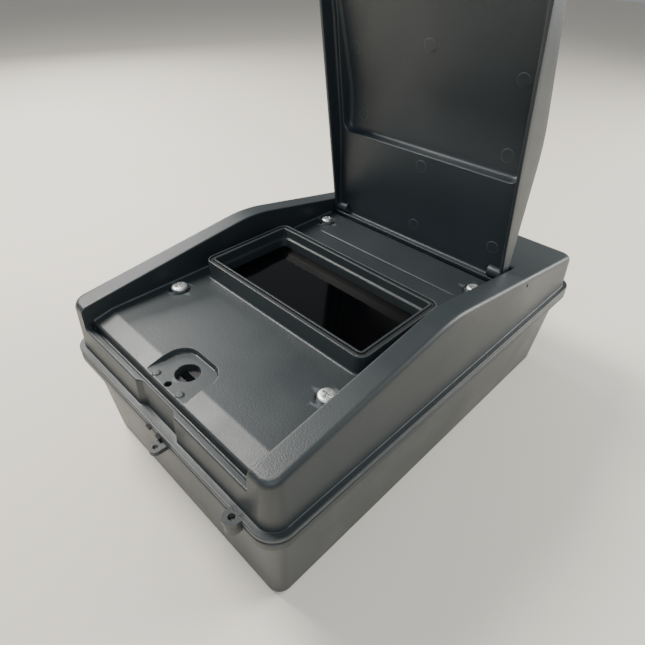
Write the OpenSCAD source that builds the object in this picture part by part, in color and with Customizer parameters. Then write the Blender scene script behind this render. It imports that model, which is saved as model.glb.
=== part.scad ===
// Flip-lid parking payment terminal: a two-part moulded housing lying on its back,
// with its lid standing open. X is the width, +Y runs towards the hinge,
// Z = 0 is the flat back face that rests on a wall or a table.

/* [Housing] */
// Width over the side walls
body_w = 156; // [140:1:190]
// Length over the end walls
body_l = 248; // [225:1:300]
// Height of the base shell
base_h = 59; // [46:1:72]
// Radius of the vertical corners
corner_r = 8; // [6:0.5:12]
// Wall thickness of both shells
wall_t = 3; // [2.4:0.1:3.4]
// How far the base walls lean in at the bottom
base_inset = 5.5; // [2:0.5:8]
// How far the cover walls lean in at the top
cover_inset = 1.6; // [0.8:0.1:2.4]

/* [Rim and gasket] */
// Width of the flange outside the walls
flange_out = 3; // [2.5:0.1:5]
// Thickness of the cover flange
flange_t = 2.4; // [2:0.1:3]
// Height of the thick band round the base rim
band_h = 4.4; // [4.2:0.2:8]
// Step inwards under that band
band_step = 2.6; // [1:0.1:3]
// Gap between the two rims
rim_gap = 0.8; // [0.5:0.1:1.2]
// Width of the rim gasket
gasket_w = 3; // [2:0.1:3.4]
// Depth of its groove in the base rim
gasket_groove = 1.2; // [0.8:0.1:2]

/* [Cover] */
// Height of the front lip over the flange
lip_h = 15; // [13:0.5:16]
// Thickness of the front lip at its top
lip_t = 3.2; // [2.8:0.1:4]
// Clear width between the two cheeks
bay_w = 129; // [115:1:131]
// Height of the deck over the flange at its front crease
deck_h = 20.2; // [19:0.1:21]
// Rise of the deck towards the hinge, in degrees
deck_slope = 0.85; // [0.2:0.05:1]
// Thickness of the deck
deck_t = 2.4; // [2:0.1:3]
// Height where the two slopes of the cheeks would meet
apex_h = 42.7; // [42:0.1:48]
// Place of that meeting point from the middle of the length
apex_y = -14; // [-20:1:0]
// Slope of the cheeks in front of it, in degrees
front_slope = 8.3; // [6:0.1:9]
// Slope of the cheeks behind it, in degrees
rear_slope = 9.4; // [7:0.1:10]
// Blend radius of the crest
crest_r = 80; // [50:5:150]

/* [Display] */
// Width over the window collar
collar_w = 116; // [100:1:118]
// Length over the window collar
collar_l = 59; // [50:1:62]
// Place of the collar's centre from the middle of the length
collar_y = -25.8; // [-30:0.2:-22]
// Height of the collar over the deck
collar_h = 10.4; // [8:0.1:10.8]
// Width of the collar's rim, with its seal groove
collar_rim = 4.2; // [3.6:0.1:5]
// Thickness of the display glass
glass_t = 3; // [2:0.5:4]

/* [Lid] */
// Height of the hinge axis over the flange
hinge_h = 26.8; // [26:0.1:28]
// Place of the hinge axis from the middle of the length
hinge_y = 58; // [54:0.5:62]
// Diameter of the hinge pins
pin_d = 3; // [2.5:0.1:4]
// Angle at which the lid stands open
open_angle = 82.5; // [0:0.5:100]
// Thickness of the lid's skirt
skirt_t = 1.8; // [1.6:0.1:3]
// Thickness of the lid's outer skin
skin_t = 3.4; // [2.6:0.1:4]

/* [Fasteners and lock] */
// Thread diameter of the front cover screws
front_screw_d = 5; // [4:0.5:5]
// Thread diameter of the rear cover screws
rear_screw_d = 4; // [3:0.5:5]
// Place of the screws from the middle of the width
screw_x = 56; // [50:0.5:56.5]
// Place of the front screws from the middle of the length
front_screw_y = -73.8; // [-80:0.2:-68]
// Place of the rear screws from the middle of the length
rear_screw_y = 39; // [30:0.5:42]
// Diameter of the lock hole in the deck
lock_d = 11.4; // [10:0.1:13]
// Place of the lock from the middle of the length
lock_y = -105.8; // [-108:0.2:-103]

/* [Back mounting] */
// Spacing of the back screw holes across the width
mount_x = 96; // [70:1:110]
// Spacing of the back screw holes along the length
mount_y = 196; // [150:1:204]
// Diameter of the back screw holes
mount_d = 5.5; // [4:0.1:7]
// Diameter of the cable entry in the back
entry_d = 20; // [14:1:26]

/* [Hidden] */

$fn = 64;
shell_fn = 32;             // segments round the hulled shell corners
slack = 0.3;               // running gap between pieces that pass each other
eps = 0.01;
far = 400;                 // longer than the housing, for cuts that run out of it

charcoal = [0.27, 0.30, 0.31];
half_w = body_w / 2;
half_l = body_l / 2;
cover_z = base_h + rim_gap;             // underside of the cover flange
split_z = cover_z + flange_t;           // top of the cover flange
flange_r = corner_r + flange_out;
half_bay = bay_w / 2;
top_span = apex_h + 4;                  // height over which the cover's draft is measured

front_y = -half_l + cover_inset * lip_h / top_span;   // outer face of the lip at its top
groove_y = front_y + lip_t;                          // front side of the drip groove
groove_w = 1.6;
groove_floor = lip_h - 2;
ramp_y = groove_y + groove_w;                        // foot of the ramp behind the groove
ramp_l = 10;
crease_y = ramp_y + ramp_l;
ramp_h = deck_h - 2.4;
heel_r = 5.6;                                        // reach of the lid behind its hinge axis
rim_clear = 0.5;                                     // gap from the deck to the closed lid's rim
catch_reach = 0.8;                                   // reach of the catches behind the lid
heel_gap = 0.6;                                      // room round the heel as it swings

// height of the deck, and of the closed lid's rim, over the flange at a place y
function deck_at(y) = deck_h + (y - crease_y) * tan(deck_slope);
function rim_at(y) = deck_at(y) + rim_clear;

lid_back = hinge_y + heel_r;
heel_sweep = norm([heel_r + catch_reach, hinge_h - rim_at(lid_back)]);
trench_h = hinge_h - heel_sweep - heel_gap;          // floor of the trench under the hinge
trench_y = hinge_y - heel_sweep * sin(open_angle - 55) - 2.2;   // front wall of that trench
bay_back_y = hinge_y + heel_r + catch_reach + heel_gap;

// crest of the cheeks: two slopes joined by an arc, as points (y, height)
crest_turn = front_slope + rear_slope;
crest_run = crest_r * tan(crest_turn / 2);
crest_start = [apex_y - crest_run * cos(front_slope), apex_h - crest_run * sin(front_slope)];
crest_end = [apex_y + crest_run * cos(rear_slope), apex_h - crest_run * sin(rear_slope)];
crest_centre = crest_start + crest_r * [sin(front_slope), -cos(front_slope)];
crest_steps = 12;
function front_at(y) = apex_h + (y - apex_y) * tan(front_slope);
function rear_at(y) = apex_h - (y - apex_y) * tan(rear_slope);
function crest_points(drop, y0, y1) = concat(
    [[y0, front_at(y0) - drop]],
    [for (i = [0 : crest_steps])
        let (a = front_slope - crest_turn * i / crest_steps)
        crest_centre + crest_r * [-sin(a), cos(a)] - [0, drop]],
    [[y1, rear_at(y1) - drop]]);

// ---------- shared shapes ----------

module rounded_rect(w, l, r) {
    square([w - 2 * r, l], center = true);
    square([w, l - 2 * r], center = true);
    for (sx = [-1, 1], sy = [-1, 1])
        translate([sx * (w / 2 - r), sy * (l / 2 - r)]) circle(r);
}

module plate(w, l, r, h) {
    linear_extrude(h) rounded_rect(w, l, r);
}

module ring(w, l, r, rim, h) {
    linear_extrude(h) difference() {
        rounded_rect(w, l, r);
        rounded_rect(w - 2 * rim, l - 2 * rim, max(r - rim, 0.5));
    }
}

// one thin slice of a shell, set in from the walls by inset
module slice(inset, z) {
    translate([0, 0, z])
        linear_extrude(eps) rounded_rect(body_w - 2 * inset, body_l - 2 * inset, corner_r - inset / 4, $fn = shell_fn);
}

// a solid run along X through the middle, from an outline in (y, height over the flange)
module across(width, points) {
    translate([-width / 2, 0, split_z])
        rotate([90, 0, 90]) linear_extrude(width) polygon(points);
}

// places children on the sloping deck, with z = 0 at its surface
module on_deck(y) {
    translate([0, y, split_z + deck_at(y)]) rotate([deck_slope, 0, 0]) children();
}

module four(dx, dy) {
    for (sx = [-1, 1], sy = [-1, 1]) translate([sx * dx, sy * dy, 0]) children();
}

module pair(dx) {
    for (sx = [-1, 1]) translate([sx * dx, 0, 0]) children();
}

module at_front_screws() {
    pair(screw_x) translate([0, front_screw_y, 0]) children();
}

module at_rear_screws() {
    pair(screw_x) translate([0, rear_screw_y, 0]) children();
}

module at_cover_screws() {
    at_front_screws() children();
    at_rear_screws() children();
}

// a pan head with a cross recess on a plain shank, head seat at z = 0
module cross_screw(d, head_d, head_h, length) {
    difference() {
        union() {
            translate([0, 0, -length]) cylinder(d = d, h = length + eps);
            cylinder(d = head_d, h = head_h * 0.6);
            translate([0, 0, head_h * 0.6]) cylinder(d1 = head_d, d2 = head_d * 0.78, h = head_h * 0.4);
        }
        for (a = [0, 90]) rotate(a)
            translate([-head_d * 0.28, -head_d * 0.06, head_h * 0.45])
                cube([head_d * 0.56, head_d * 0.12, head_h]);
    }
}

// ---------- base ----------

ear_x = 60;
ear_reach = 4.6;           // hole centre from the wall
ear_r = 3.4;
ear_hole_d = 3;
lug_x = 8;
lug_reach = 6.8;
lug_hole_d = 2.6;
lug_r = 3;
lug_t = 2.4;
ear_t = 4;

ear_root = 2.6;            // how far the ears reach into the rims
cover_ear_r = 3.8;

// tongue with a round end; its root is as far inside the rim as given
module seal_tongue(x, reach, r, root, thickness) {
    translate([x, -half_l - reach, 0]) {
        cylinder(r = r, h = thickness);
        translate([-r, 0, 0]) cube([2 * r, reach - flange_out + root, thickness]);
    }
}

module base_ear_blank() {
    translate([0, 0, base_h - ear_t]) seal_tongue(ear_x, ear_reach, ear_r, ear_root, ear_t);
}

module cover_ear_blank() {
    translate([0, 0, cover_z]) seal_tongue(ear_x, ear_reach, cover_ear_r, ear_root, flange_t);
}

module base_seal_ears() {
    color(charcoal) difference() {
        union() {
            base_ear_blank();
            translate([0, 0, base_h - 3.4]) seal_tongue(lug_x, lug_reach, lug_r, 0, lug_t);
        }
        translate([ear_x, -half_l - ear_reach, base_h - ear_t - 1]) cylinder(d = ear_hole_d, h = ear_t + 2);
        translate([lug_x, -half_l - lug_reach, base_h - 4]) cylinder(d = lug_hole_d, h = 4);
        gasket_channel();
    }
}

module cover_seal_ear() {
    color(charcoal) difference() {
        cover_ear_blank();
        translate([ear_x, -half_l - ear_reach, cover_z - 1]) cylinder(d = ear_hole_d, h = flange_t + 2);
    }
}

post_d = 11;
post_gap = 0.5;
post_top = base_h - 4;
mount_pad_d = 14;
floor_t = wall_t;

board_z = floor_t + 8;
board_w = 96;
board_l = 100;
board_y = -28;
board_t = 1.6;
board_hole_x = board_w / 2 - 5;
board_hole_y = board_l / 2 - 5;
standoff_d = 7;
small_screw_d = 3;
small_head_d = 5.5;
small_head_h = 2;
small_hole_d = small_screw_d + 0.04;

supply_w = 52;
supply_l = 50;
supply_h = 24;
supply_x = 14;
supply_y = 62;
supply_z = floor_t + 4;
supply_foot = 6;

terminal_x = -40;
terminal_y = 62;
terminal_w = 16;
terminal_l = 42;
terminal_h = 14;

entry_x = -8;
entry_y = 100;

module supply_holes() {
    translate([supply_x, supply_y, 0])
        pair(supply_w / 2 + supply_foot / 2) children();
}

insert_wall = 1.2;
insert_l = 9;
insert_fit = 0.04;         // how much wider a hole is than the insert or the screw in it

// groove for the gasket in the base rim
module gasket_channel() {
    translate([0, 0, base_h - gasket_groove]) gasket_ring(gasket_groove + 1);
}

module gasket_ring(h) {
    ring(body_w + 2 * flange_out - 3, body_l + 2 * flange_out - 3, flange_r - 1.5, gasket_w, h);
}

module base_box() {
    color(charcoal) difference() {
        union() {
            difference() {
                union() {
                    hull() {
                        slice(base_inset + 2, 0);
                        slice(base_inset + 0.5, 0.8);
                        slice(base_inset, 2.4);
                        slice(band_step / 2, base_h - band_h - band_step);
                    }
                    hull() {
                        slice(band_step / 2, base_h - band_h - band_step);
                        slice(-flange_out + 0.4, base_h - band_h);
                    }
                    translate([0, 0, base_h - band_h])
                        plate(body_w + 2 * flange_out, body_l + 2 * flange_out, flange_r, band_h);
                }
                hull() {
                    slice(base_inset + wall_t, floor_t);
                    slice(wall_t + band_step / 2, base_h - band_h - band_step);
                    slice(wall_t, base_h + 1);
                }
            }
            // posts under the four cover screws, each tied to the floor
            at_cover_screws() translate([0, 0, floor_t - 1]) cylinder(d = post_d, h = post_top - floor_t + 1);
            four(mount_x / 2, mount_y / 2) cylinder(d = mount_pad_d, h = floor_t + 1.5);
            translate([0, board_y, floor_t - 1]) four(board_hole_x, board_hole_y)
                cylinder(d = standoff_d, h = board_z - floor_t + 1);
            supply_holes() translate([0, 0, floor_t - 1]) cylinder(d = standoff_d, h = supply_z - floor_t + 1);
            translate([entry_x, entry_y, 0]) cylinder(d = entry_d + 6, h = floor_t + 1);
            // rail that the terminal block stands on
            translate([terminal_x - terminal_w / 2, terminal_y - terminal_l / 2, floor_t - 1])
                cube([terminal_w, terminal_l, 5]);
        }
        base_ear_blank();
        gasket_channel();
        at_front_screws() insert_hole(front_screw_d);
        at_rear_screws() insert_hole(rear_screw_d);
        four(mount_x / 2, mount_y / 2) translate([0, 0, -1]) cylinder(d = mount_d, h = floor_t + 5);
        translate([0, board_y, board_z - 6]) four(board_hole_x, board_hole_y)
            cylinder(d = small_hole_d, h = 8);
        supply_holes() translate([0, 0, supply_z - 5.5]) cylinder(d = small_hole_d, h = 8);
        translate([entry_x, entry_y, -1]) cylinder(d = entry_d, h = floor_t + 4);
    }
}

// stepped hole in a post: wide for the insert, narrow below it for the end of the screw
module insert_hole(d) {
    translate([0, 0, post_top - insert_l]) cylinder(d = d + 2 * insert_wall + insert_fit, h = insert_l + 1);
    translate([0, 0, post_top - 22]) cylinder(d = d + 0.6, h = 22);
}

// ---------- cover ----------

notch_w = 25;              // shallow recess in the middle of the front wall
notch_ramp = 3;
recess_w = 30;             // pocket round the lock hole
recess_back = lock_y + 9.8;
recess_h = deck_h - 2.2;
recess_r = 8.5;
locator_y = lock_y - 10;
locator_d = 3.2;
bump_x = 9.4;
bump_d = 3.4;
bump_h = 0.5;
pad_h = 9;                 // thickness under the lock recess
socket_t = 1.2;
socket_seat = recess_h - 4.4;
socket_bore_d = lock_d - 2;
bar_l = socket_bore_d - 1;         // cross bar at the end of the lock barrel
bar_t = 1.6;
bar_w = 3;
bar_z = socket_seat - bar_t - 0.4;
head_d_front = 9;
head_h_front = 3.4;
head_d_rear = 7.4;
head_h_rear = 3.6;
sink_d = 11;               // counterbores round the screw heads
sink_depth = 0.8;
front_seat = split_z + deck_at(front_screw_y) - sink_depth;
rear_seat = split_z + deck_at(rear_screw_y) - sink_depth;
boss_d = 13;
glass_seat = -0.4;         // top of the glass, from the deck surface
well_step = 5.4;           // from the collar's top to the step in the well
well_step_x = 3;
well_step_y = 1.4;
glass_w = collar_w - 7;
glass_l = collar_l - 3;
glass_clear = 0.3;
pocket_t = 2.4;            // wall round the glass, under the deck
frame_t = 3;
frame_boss_x = glass_w / 2 - 12;
frame_boss_y = glass_l / 2 + 7;
frame_boss_d = 7;

module glass_wall() {
    on_deck(collar_y) translate([0, 0, glass_seat - glass_t - 0.4])
        plate(glass_w + 2 * glass_clear + 2 * pocket_t, glass_l + 2 * glass_clear + 2 * pocket_t, 4,
              glass_t + 0.4 - glass_seat - deck_t / 2 + 0.8);
}

frame_drop = glass_t - glass_seat + 0.4;     // underside of the glass wall, below the deck

module frame_boss_places() {
    on_deck(collar_y) four(frame_boss_x, frame_boss_y) translate([0, 0, -frame_drop]) children();
}

module collar() {
    on_deck(collar_y) translate([0, 0, -deck_t / 2]) plate(collar_w, collar_l, 4.5, collar_h + deck_t / 2);
}

lip_wall = (collar_rim - 2) / 2;
seal_w = 2;
seal_depth = 1.5;

module collar_cuts() {
    well_w = collar_w - 2 * collar_rim;
    well_l = collar_l - 2 * collar_rim;
    on_deck(collar_y) {
        translate([0, 0, collar_h - seal_depth])
            ring(collar_w - 2 * lip_wall, collar_l - 2 * lip_wall, 4.5 - lip_wall, seal_w, seal_depth + 1);
        translate([0, 0, collar_h - well_step]) plate(well_w, well_l, 1.6, well_step + 1);
        translate([0, 0, -20]) plate(well_w - 2 * well_step_x, well_l - 2 * well_step_y, 1.2, 40);
        translate([0, 0, glass_seat - glass_t - 10])
            plate(glass_w + 2 * glass_clear, glass_l + 2 * glass_clear, 2, glass_t + 10);
    }
}

reader_w = 84;
reader_l = 22;
reader_y = front_screw_y - 6;
reader_drop = 6;
reader_hole_x = 32;

module reader_boss_places() {
    on_deck(reader_y) pair(reader_hole_x) translate([0, 0, -deck_t / 2 - reader_drop]) children();
}

module cover_block() {
    intersection() {
        hull() {
            slice(0, split_z);
            slice(cover_inset, split_z + top_span);
        }
        across(far, concat([[-half_l - 1, -1], [-half_l - 1, front_at(-half_l - 1)]],
            crest_points(0, -half_l - 0.5, half_l), [[half_l + 1, rear_at(half_l + 1)], [half_l + 1, -1]]));
    }
}

module cover_inside() {
    difference() {
        intersection() {
            hull() {
                slice(wall_t, cover_z - 1);
                slice(wall_t + cover_inset, split_z + top_span);
            }
            across(far, concat([[-half_l, -20]], crest_points(wall_t, -half_l, half_l), [[half_l, -20]]));
        }
        // deck, cheek walls and lip stay solid
        across(bay_w + 2 * wall_t, [
            [-far / 2, groove_floor - deck_t], [ramp_y + deck_t, groove_floor - deck_t],
            [crease_y, deck_h - deck_t], [trench_y - deck_t, deck_at(trench_y) - deck_t],
            [trench_y - deck_t, trench_h - deck_t],
            [bay_back_y + wall_t, trench_h - deck_t], [bay_back_y + wall_t, 2 * apex_h],
            [-far / 2, 2 * apex_h]]);
    }
}

module bay_cut() {
    across(bay_w, [
        [-half_l - 5, lip_h], [groove_y, lip_h], [groove_y, groove_floor], [ramp_y, groove_floor],
        [ramp_y, ramp_h], [crease_y, deck_h], [trench_y, deck_at(trench_y)], [trench_y, trench_h],
        [bay_back_y, trench_h], [bay_back_y, 2 * apex_h], [-half_l - 5, 2 * apex_h]]);
}

module screw_boss(y) {
    bottom = post_top + post_gap;
    translate([0, 0, bottom]) cylinder(d = boss_d, h = split_z + deck_at(y) - deck_t / 2 - bottom);
}

// counterbore and clearance hole of a cover screw, down through its boss
module screw_hole(seat, d) {
    translate([0, 0, seat]) cylinder(d = sink_d, h = 20);
    translate([0, 0, post_top]) cylinder(d = d + 0.6, h = seat - post_top + 1);
}

module lock_pad() {
    pad_l = recess_back - ramp_y + 4;
    translate([0, ramp_y + eps + pad_l / 2, split_z + recess_h - pad_h])
        plate(recess_w + 8, pad_l, 3, pad_h - 0.5);
}

module lock_recess() {
    translate([0, recess_back - recess_w / 2, split_z + recess_h])
        linear_extrude(10) {
            rounded_rect(recess_w, recess_w, recess_r);
            translate([-recess_w / 2, -recess_w]) square([recess_w, recess_w]);
        }
}

module front_notch() {
    translate([0, -half_l, split_z]) linear_extrude(far)
        polygon([[-notch_w / 2 - notch_ramp, -5], [-notch_w / 2 - notch_ramp, 0.3],
            [-notch_w / 2, 1.9], [notch_w / 2, 1.9],
            [notch_w / 2 + notch_ramp, 0.3], [notch_w / 2 + notch_ramp, -5]]);
}

module hinge_axis() {
    translate([0, hinge_y, split_z + hinge_h]) rotate([0, 90, 0]) children();
}

pin_l = half_w - cover_inset - half_bay + 8;
pin_x = half_bay - 8.4;
pin_fit = 0.02;            // cover bores over the pins
pin_run = 0.08;            // lid bores over the pins

module front_cover() {
    color(charcoal) difference() {
        union() {
            difference() {
                union() {
                    translate([0, 0, cover_z])
                        plate(body_w + 2 * flange_out, body_l + 2 * flange_out, flange_r, flange_t);
                    cover_block();
                }
                cover_inside();
                bay_cut();
            }
            collar();
            glass_wall();
            lock_pad();
            at_front_screws() screw_boss(front_screw_y);
            at_rear_screws() screw_boss(rear_screw_y);
            frame_boss_places() cylinder(d = frame_boss_d, h = frame_drop - deck_t / 2);
            reader_boss_places() cylinder(d = standoff_d, h = reader_drop);
        }
        collar_cuts();
        lock_recess();
        front_notch();
        translate([0, lock_y, split_z + socket_seat]) cylinder(d = lock_d, h = 10);
        translate([0, lock_y, split_z + bar_z - 0.8]) cylinder(d = socket_bore_d, h = 10);
        translate([0, locator_y, split_z + recess_h - 5]) cylinder(d = locator_d, h = 10);
        at_front_screws() screw_hole(front_seat, front_screw_d);
        at_rear_screws() screw_hole(rear_seat, rear_screw_d);
        frame_boss_places() translate([0, 0, -1]) cylinder(d = small_hole_d, h = frame_drop - 0.2);
        reader_boss_places() translate([0, 0, -1]) cylinder(d = small_hole_d, h = reader_drop);
        hinge_axis() for (s = [-1, 1]) translate([0, 0, s * half_w])
            cylinder(d = pin_d + 2 * pin_fit, h = 2 * (half_w - half_bay) + 4, center = true);
        cover_ear_blank();
    }
    // two low rests for the lid, beside the locating hole
    color(charcoal) translate([0, locator_y, split_z + recess_h]) pair(bump_x) cylinder(d = bump_d, h = bump_h);
}

module cover_gasket() {
    color([0.08, 0.08, 0.08]) {
        translate([0, 0, base_h - gasket_groove]) gasket_ring(gasket_groove + rim_gap);
        // tabs that pull it out, left showing at the front
        for (x = [-4.5, 3.5]) translate([x, -half_l - flange_out - 1.2, base_h])
            cube([3.2, 4, rim_gap]);
    }
}

// ---------- lid, in its closed place ----------

lid_w = bay_w - 1.8;
lid_front = groove_y + slack;
lid_drop = 0.2;            // how far the lid lies under the cheeks' crest
step_y = collar_y + collar_l / 2 + 2.2;      // edge between the shallow floor and the deep pocket
pocket_w = collar_w + 2;
floor_front = 8.6;         // depth of the shallow floor at the step, and at the hinge
floor_back = 3.4;
knuckle_d = 7;
knuckle_l = 9;
catch_w = 8;
catch_h = 4;
catch_x = 15;

module swing() {
    translate([0, hinge_y, split_z + hinge_h])
        rotate([-open_angle, 0, 0])
            translate([0, -hinge_y, -split_z - hinge_h]) children();
}

module lid() {
    color(charcoal) swing() difference() {
        union() {
            difference() {
                across(lid_w, concat(
                    [[lid_front, lip_h + 0.5]],
                    crest_points(lid_drop, lid_front, hinge_y + 2.4),
                    [[hinge_y + 4.6, rear_at(hinge_y + 4.6) - lid_drop - 0.9], [lid_back, hinge_h + 1.6],
                     [lid_back, rim_at(lid_back)], [crease_y, rim_at(crease_y)],
                     [ramp_y - 0.4, ramp_h + rim_clear], [ramp_y - 0.4, lip_h + 0.5]]));
                // shallow floor from the hinge wall to the step, and shoulders beside the pocket
                across(lid_w - 2 * skirt_t, [
                    [lid_front + skirt_t, -5], [lid_front + skirt_t, front_at(lid_front) - skin_t - lid_drop],
                    [-60, rim_at(-60) + floor_front], [step_y, rim_at(step_y) + floor_front],
                    [lid_back - skirt_t - 1, rim_at(lid_back) + floor_back], [lid_back - skirt_t - 1, -5]]);
                // deep pocket under the arch
                across(pocket_w, concat([[lid_front + skirt_t, -5]],
                    crest_points(lid_drop + skin_t, lid_front + skirt_t, step_y), [[step_y, -5]]));
            }
            // hinge knuckles inside the skirt
            hinge_axis() for (s = [-1, 1])
                translate([0, 0, s * (lid_w / 2 - knuckle_l / 2 - 0.5)])
                    cylinder(d = knuckle_d, h = knuckle_l + 1, center = true);
            // boss round the lock barrel
            translate([0, lock_y, split_z + recess_h + 1.6])
                cylinder(d = lock_d + 5, h = front_at(lock_y) - recess_h - 1.6 - 1);
            // locating peg that drops in the small hole of the deck
            translate([0, locator_y, split_z + recess_h - 3])
                cylinder(d = locator_d - 1, h = front_at(locator_y) - recess_h + 2);
            // catches on the back of the hinge wall
            pair(catch_x) translate([-catch_w / 2, lid_back - 1, split_z + rim_at(lid_back)])
                cube([catch_w, 1 + catch_reach, catch_h]);
        }
        hinge_axis() cylinder(d = pin_d + 2 * pin_run, h = far, center = true);
        translate([0, lock_y, split_z]) cylinder(d = barrel_d + 0.12, h = far);
    }
}

module hinge_pins() {
    color("silver") hinge_axis() for (s = [-1, 1])
        translate([0, 0, s * (pin_x + pin_l / 2)]) cylinder(d = pin_d, h = pin_l, center = true);
}

barrel_d = lock_d - 1.2;
tail_d = 3;
key_l = 6;

module lock_barrel() {
    top = front_at(lock_y) - lid_drop - 0.8;
    color("silver") swing() translate([0, lock_y, split_z]) difference() {
        union() {
            translate([0, 0, recess_h - 2.4]) cylinder(d = barrel_d, h = top - recess_h + 2.4);
            translate([0, 0, bar_z]) cylinder(d = tail_d, h = recess_h - 2 - bar_z);
            translate([-bar_l / 2, -bar_w / 2, bar_z]) cube([bar_l, bar_w, bar_t]);
        }
        translate([-key_l / 2, -0.6, top - 5]) cube([key_l, 1.2, 6]);
    }
}

module lock_socket() {
    color([0.1, 0.1, 0.1]) translate([0, lock_y, split_z + socket_seat]) difference() {
        cylinder(d = lock_d - 0.1, h = socket_t);
        translate([-bar_l / 2 - 0.4, -bar_w / 2 - 0.4, -1]) cube([bar_l + 0.8, bar_w + 0.8, socket_t + 2]);
    }
}

// ---------- cover fasteners ----------

screw_end = post_top - insert_l + 1;

module front_cover_screws() {
    color("lightgray") at_front_screws() translate([0, 0, front_seat])
        cross_screw(front_screw_d, head_d_front, head_h_front, front_seat - screw_end);
}

module rear_cover_screws() {
    color("lightgray") at_rear_screws() translate([0, 0, rear_seat])
        cross_screw(rear_screw_d, head_d_rear, head_h_rear, rear_seat - screw_end);
}

module insert(d) {
    translate([0, 0, post_top - insert_l]) difference() {
        cylinder(d = d + 2 * insert_wall, h = insert_l);
        translate([0, 0, -1]) cylinder(d = d + insert_fit, h = insert_l + 2);
    }
}

module front_inserts() {
    color("gold") at_front_screws() insert(front_screw_d);
}

module rear_inserts() {
    color("gold") at_rear_screws() insert(rear_screw_d);
}

// ---------- display ----------

module window_seal() {
    color([0.06, 0.06, 0.06]) on_deck(collar_y) translate([0, 0, collar_h - seal_depth])
        ring(collar_w - 2 * lip_wall, collar_l - 2 * lip_wall, 4.5 - lip_wall, seal_w, seal_depth - 0.3);
}

module display_glass() {
    color([0.02, 0.02, 0.02]) on_deck(collar_y) translate([0, 0, glass_seat - glass_t])
        plate(glass_w, glass_l, 1.8, glass_t);
}

panel_w = glass_w - 14;
panel_l = glass_l - 12;
panel_h = 6;

module display_frame() {
    color([0.2, 0.2, 0.2]) on_deck(collar_y) translate([0, 0, -frame_drop - frame_t]) difference() {
        union() {
            plate(glass_w + 2, glass_l + 2 * 11, 3, frame_t);
            // raised edge that presses the glass up on its seat
            translate([0, 0, frame_t - eps]) ring(glass_w - 1, glass_l - 1, 2, 3, 0.4 + eps);
        }
        translate([0, 0, -1]) plate(panel_w + 0.6, panel_l + 0.6, 1.5, frame_t + 3);
        four(frame_boss_x, frame_boss_y) translate([0, 0, -1]) cylinder(d = small_screw_d + 0.4, h = frame_t + 3);
        // clear of the bosses of the rear and front cover screws
        for (sx = [-1, 1], y = [front_screw_y, rear_screw_y])
            translate([sx * screw_x, y - collar_y, -1]) cylinder(d = boss_d + 2, h = frame_t + 3);
    }
}

module frame_screws() {
    color("silver") frame_boss_places() translate([0, 0, -frame_t]) rotate([180, 0, 0]) small_screw(frame_t + 2.5);
}

// pan-head screw for the small boards, seat at z = 0, head upwards
module small_screw(length) {
    translate([0, 0, -length]) cylinder(d = small_screw_d, h = length + eps);
    cylinder(d = small_head_d, h = small_head_h);
}

module display_panel() {
    color([0.12, 0.14, 0.14]) on_deck(collar_y)
        translate([0, 0, glass_seat - glass_t - panel_h]) plate(panel_w, panel_l, 1, panel_h);
}

// ---------- electronics ----------

module main_board() {
    color("darkgreen") translate([0, board_y, board_z]) difference() {
        plate(board_w, board_l, 2, board_t);
        four(board_hole_x, board_hole_y) translate([0, 0, -1]) cylinder(d = small_screw_d + 0.4, h = board_t + 2);
    }
}

module main_board_screws() {
    color("silver") translate([0, board_y, board_z + board_t]) four(board_hole_x, board_hole_y)
        small_screw(board_t + 4.5);
}

part_z = board_z + board_t;

module processor_can() {
    color("silver") translate([-20, board_y - 22, part_z]) plate(30, 24, 1, 3);
}

module sounder() {
    color([0.1, 0.1, 0.1]) translate([26, board_y - 28, part_z]) difference() {
        cylinder(d = 14, h = 7);
        translate([0, 0, 5]) cylinder(d = 2, h = 3);
    }
}

ribbon_w = 20;
ribbon_t = 0.8;
ribbon_x = 0;
socket_h = 6;

module display_socket() {
    color("ivory") translate([ribbon_x - ribbon_w / 2 - 3, board_y + 20, part_z]) cube([ribbon_w + 6, 6, socket_h]);
}

// flat cable that rises from its socket and bends over to the underside of the panel
module ribbon_cable() {
    y0 = board_y + 23;
    z0 = part_z + socket_h;
    z1 = split_z + deck_at(collar_y) + glass_seat - glass_t - panel_h - 0.6;
    bend = 6;
    color([0.55, 0.56, 0.58]) translate([ribbon_x - ribbon_w / 2, 0, 0]) {
        translate([0, y0 - ribbon_t / 2, z0]) cube([ribbon_w, ribbon_t, z1 - z0 - bend]);
        translate([0, y0 - bend, z1 - bend]) rotate([90, 0, 90]) linear_extrude(ribbon_w) intersection() {
            difference() {
                circle(r = bend + ribbon_t / 2);
                circle(r = bend - ribbon_t / 2);
            }
            square(2 * bend);
        }
        translate([0, y0 - bend - 8, z1 - ribbon_t / 2]) cube([ribbon_w, 8, ribbon_t]);
    }
}

module reader_board() {
    color("darkgreen") on_deck(reader_y) translate([0, 0, -deck_t / 2 - reader_drop - board_t]) difference() {
        plate(reader_w, reader_l, 2, board_t);
        pair(reader_hole_x) translate([0, 0, -1]) cylinder(d = small_screw_d + 0.4, h = board_t + 2);
    }
}

module reader_screws() {
    color("silver") reader_boss_places() translate([0, 0, -board_t]) rotate([180, 0, 0]) small_screw(board_t + 4);
}

module reader_chip() {
    color([0.1, 0.1, 0.1]) on_deck(reader_y) translate([0, 0, -deck_t / 2 - reader_drop - board_t - 1.4])
        plate(9, 9, 0.5, 1.4);
}

module power_supply() {
    color([0.5, 0.5, 0.52]) translate([supply_x, supply_y, supply_z]) {
        plate(supply_w, supply_l, 1, supply_h);
        difference() {
            plate(supply_w + 2 * supply_foot + 4, 16, 1, 2);
            pair(supply_w / 2 + supply_foot / 2) translate([0, 0, -1]) cylinder(d = small_screw_d + 0.4, h = 4);
        }
    }
}

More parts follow.
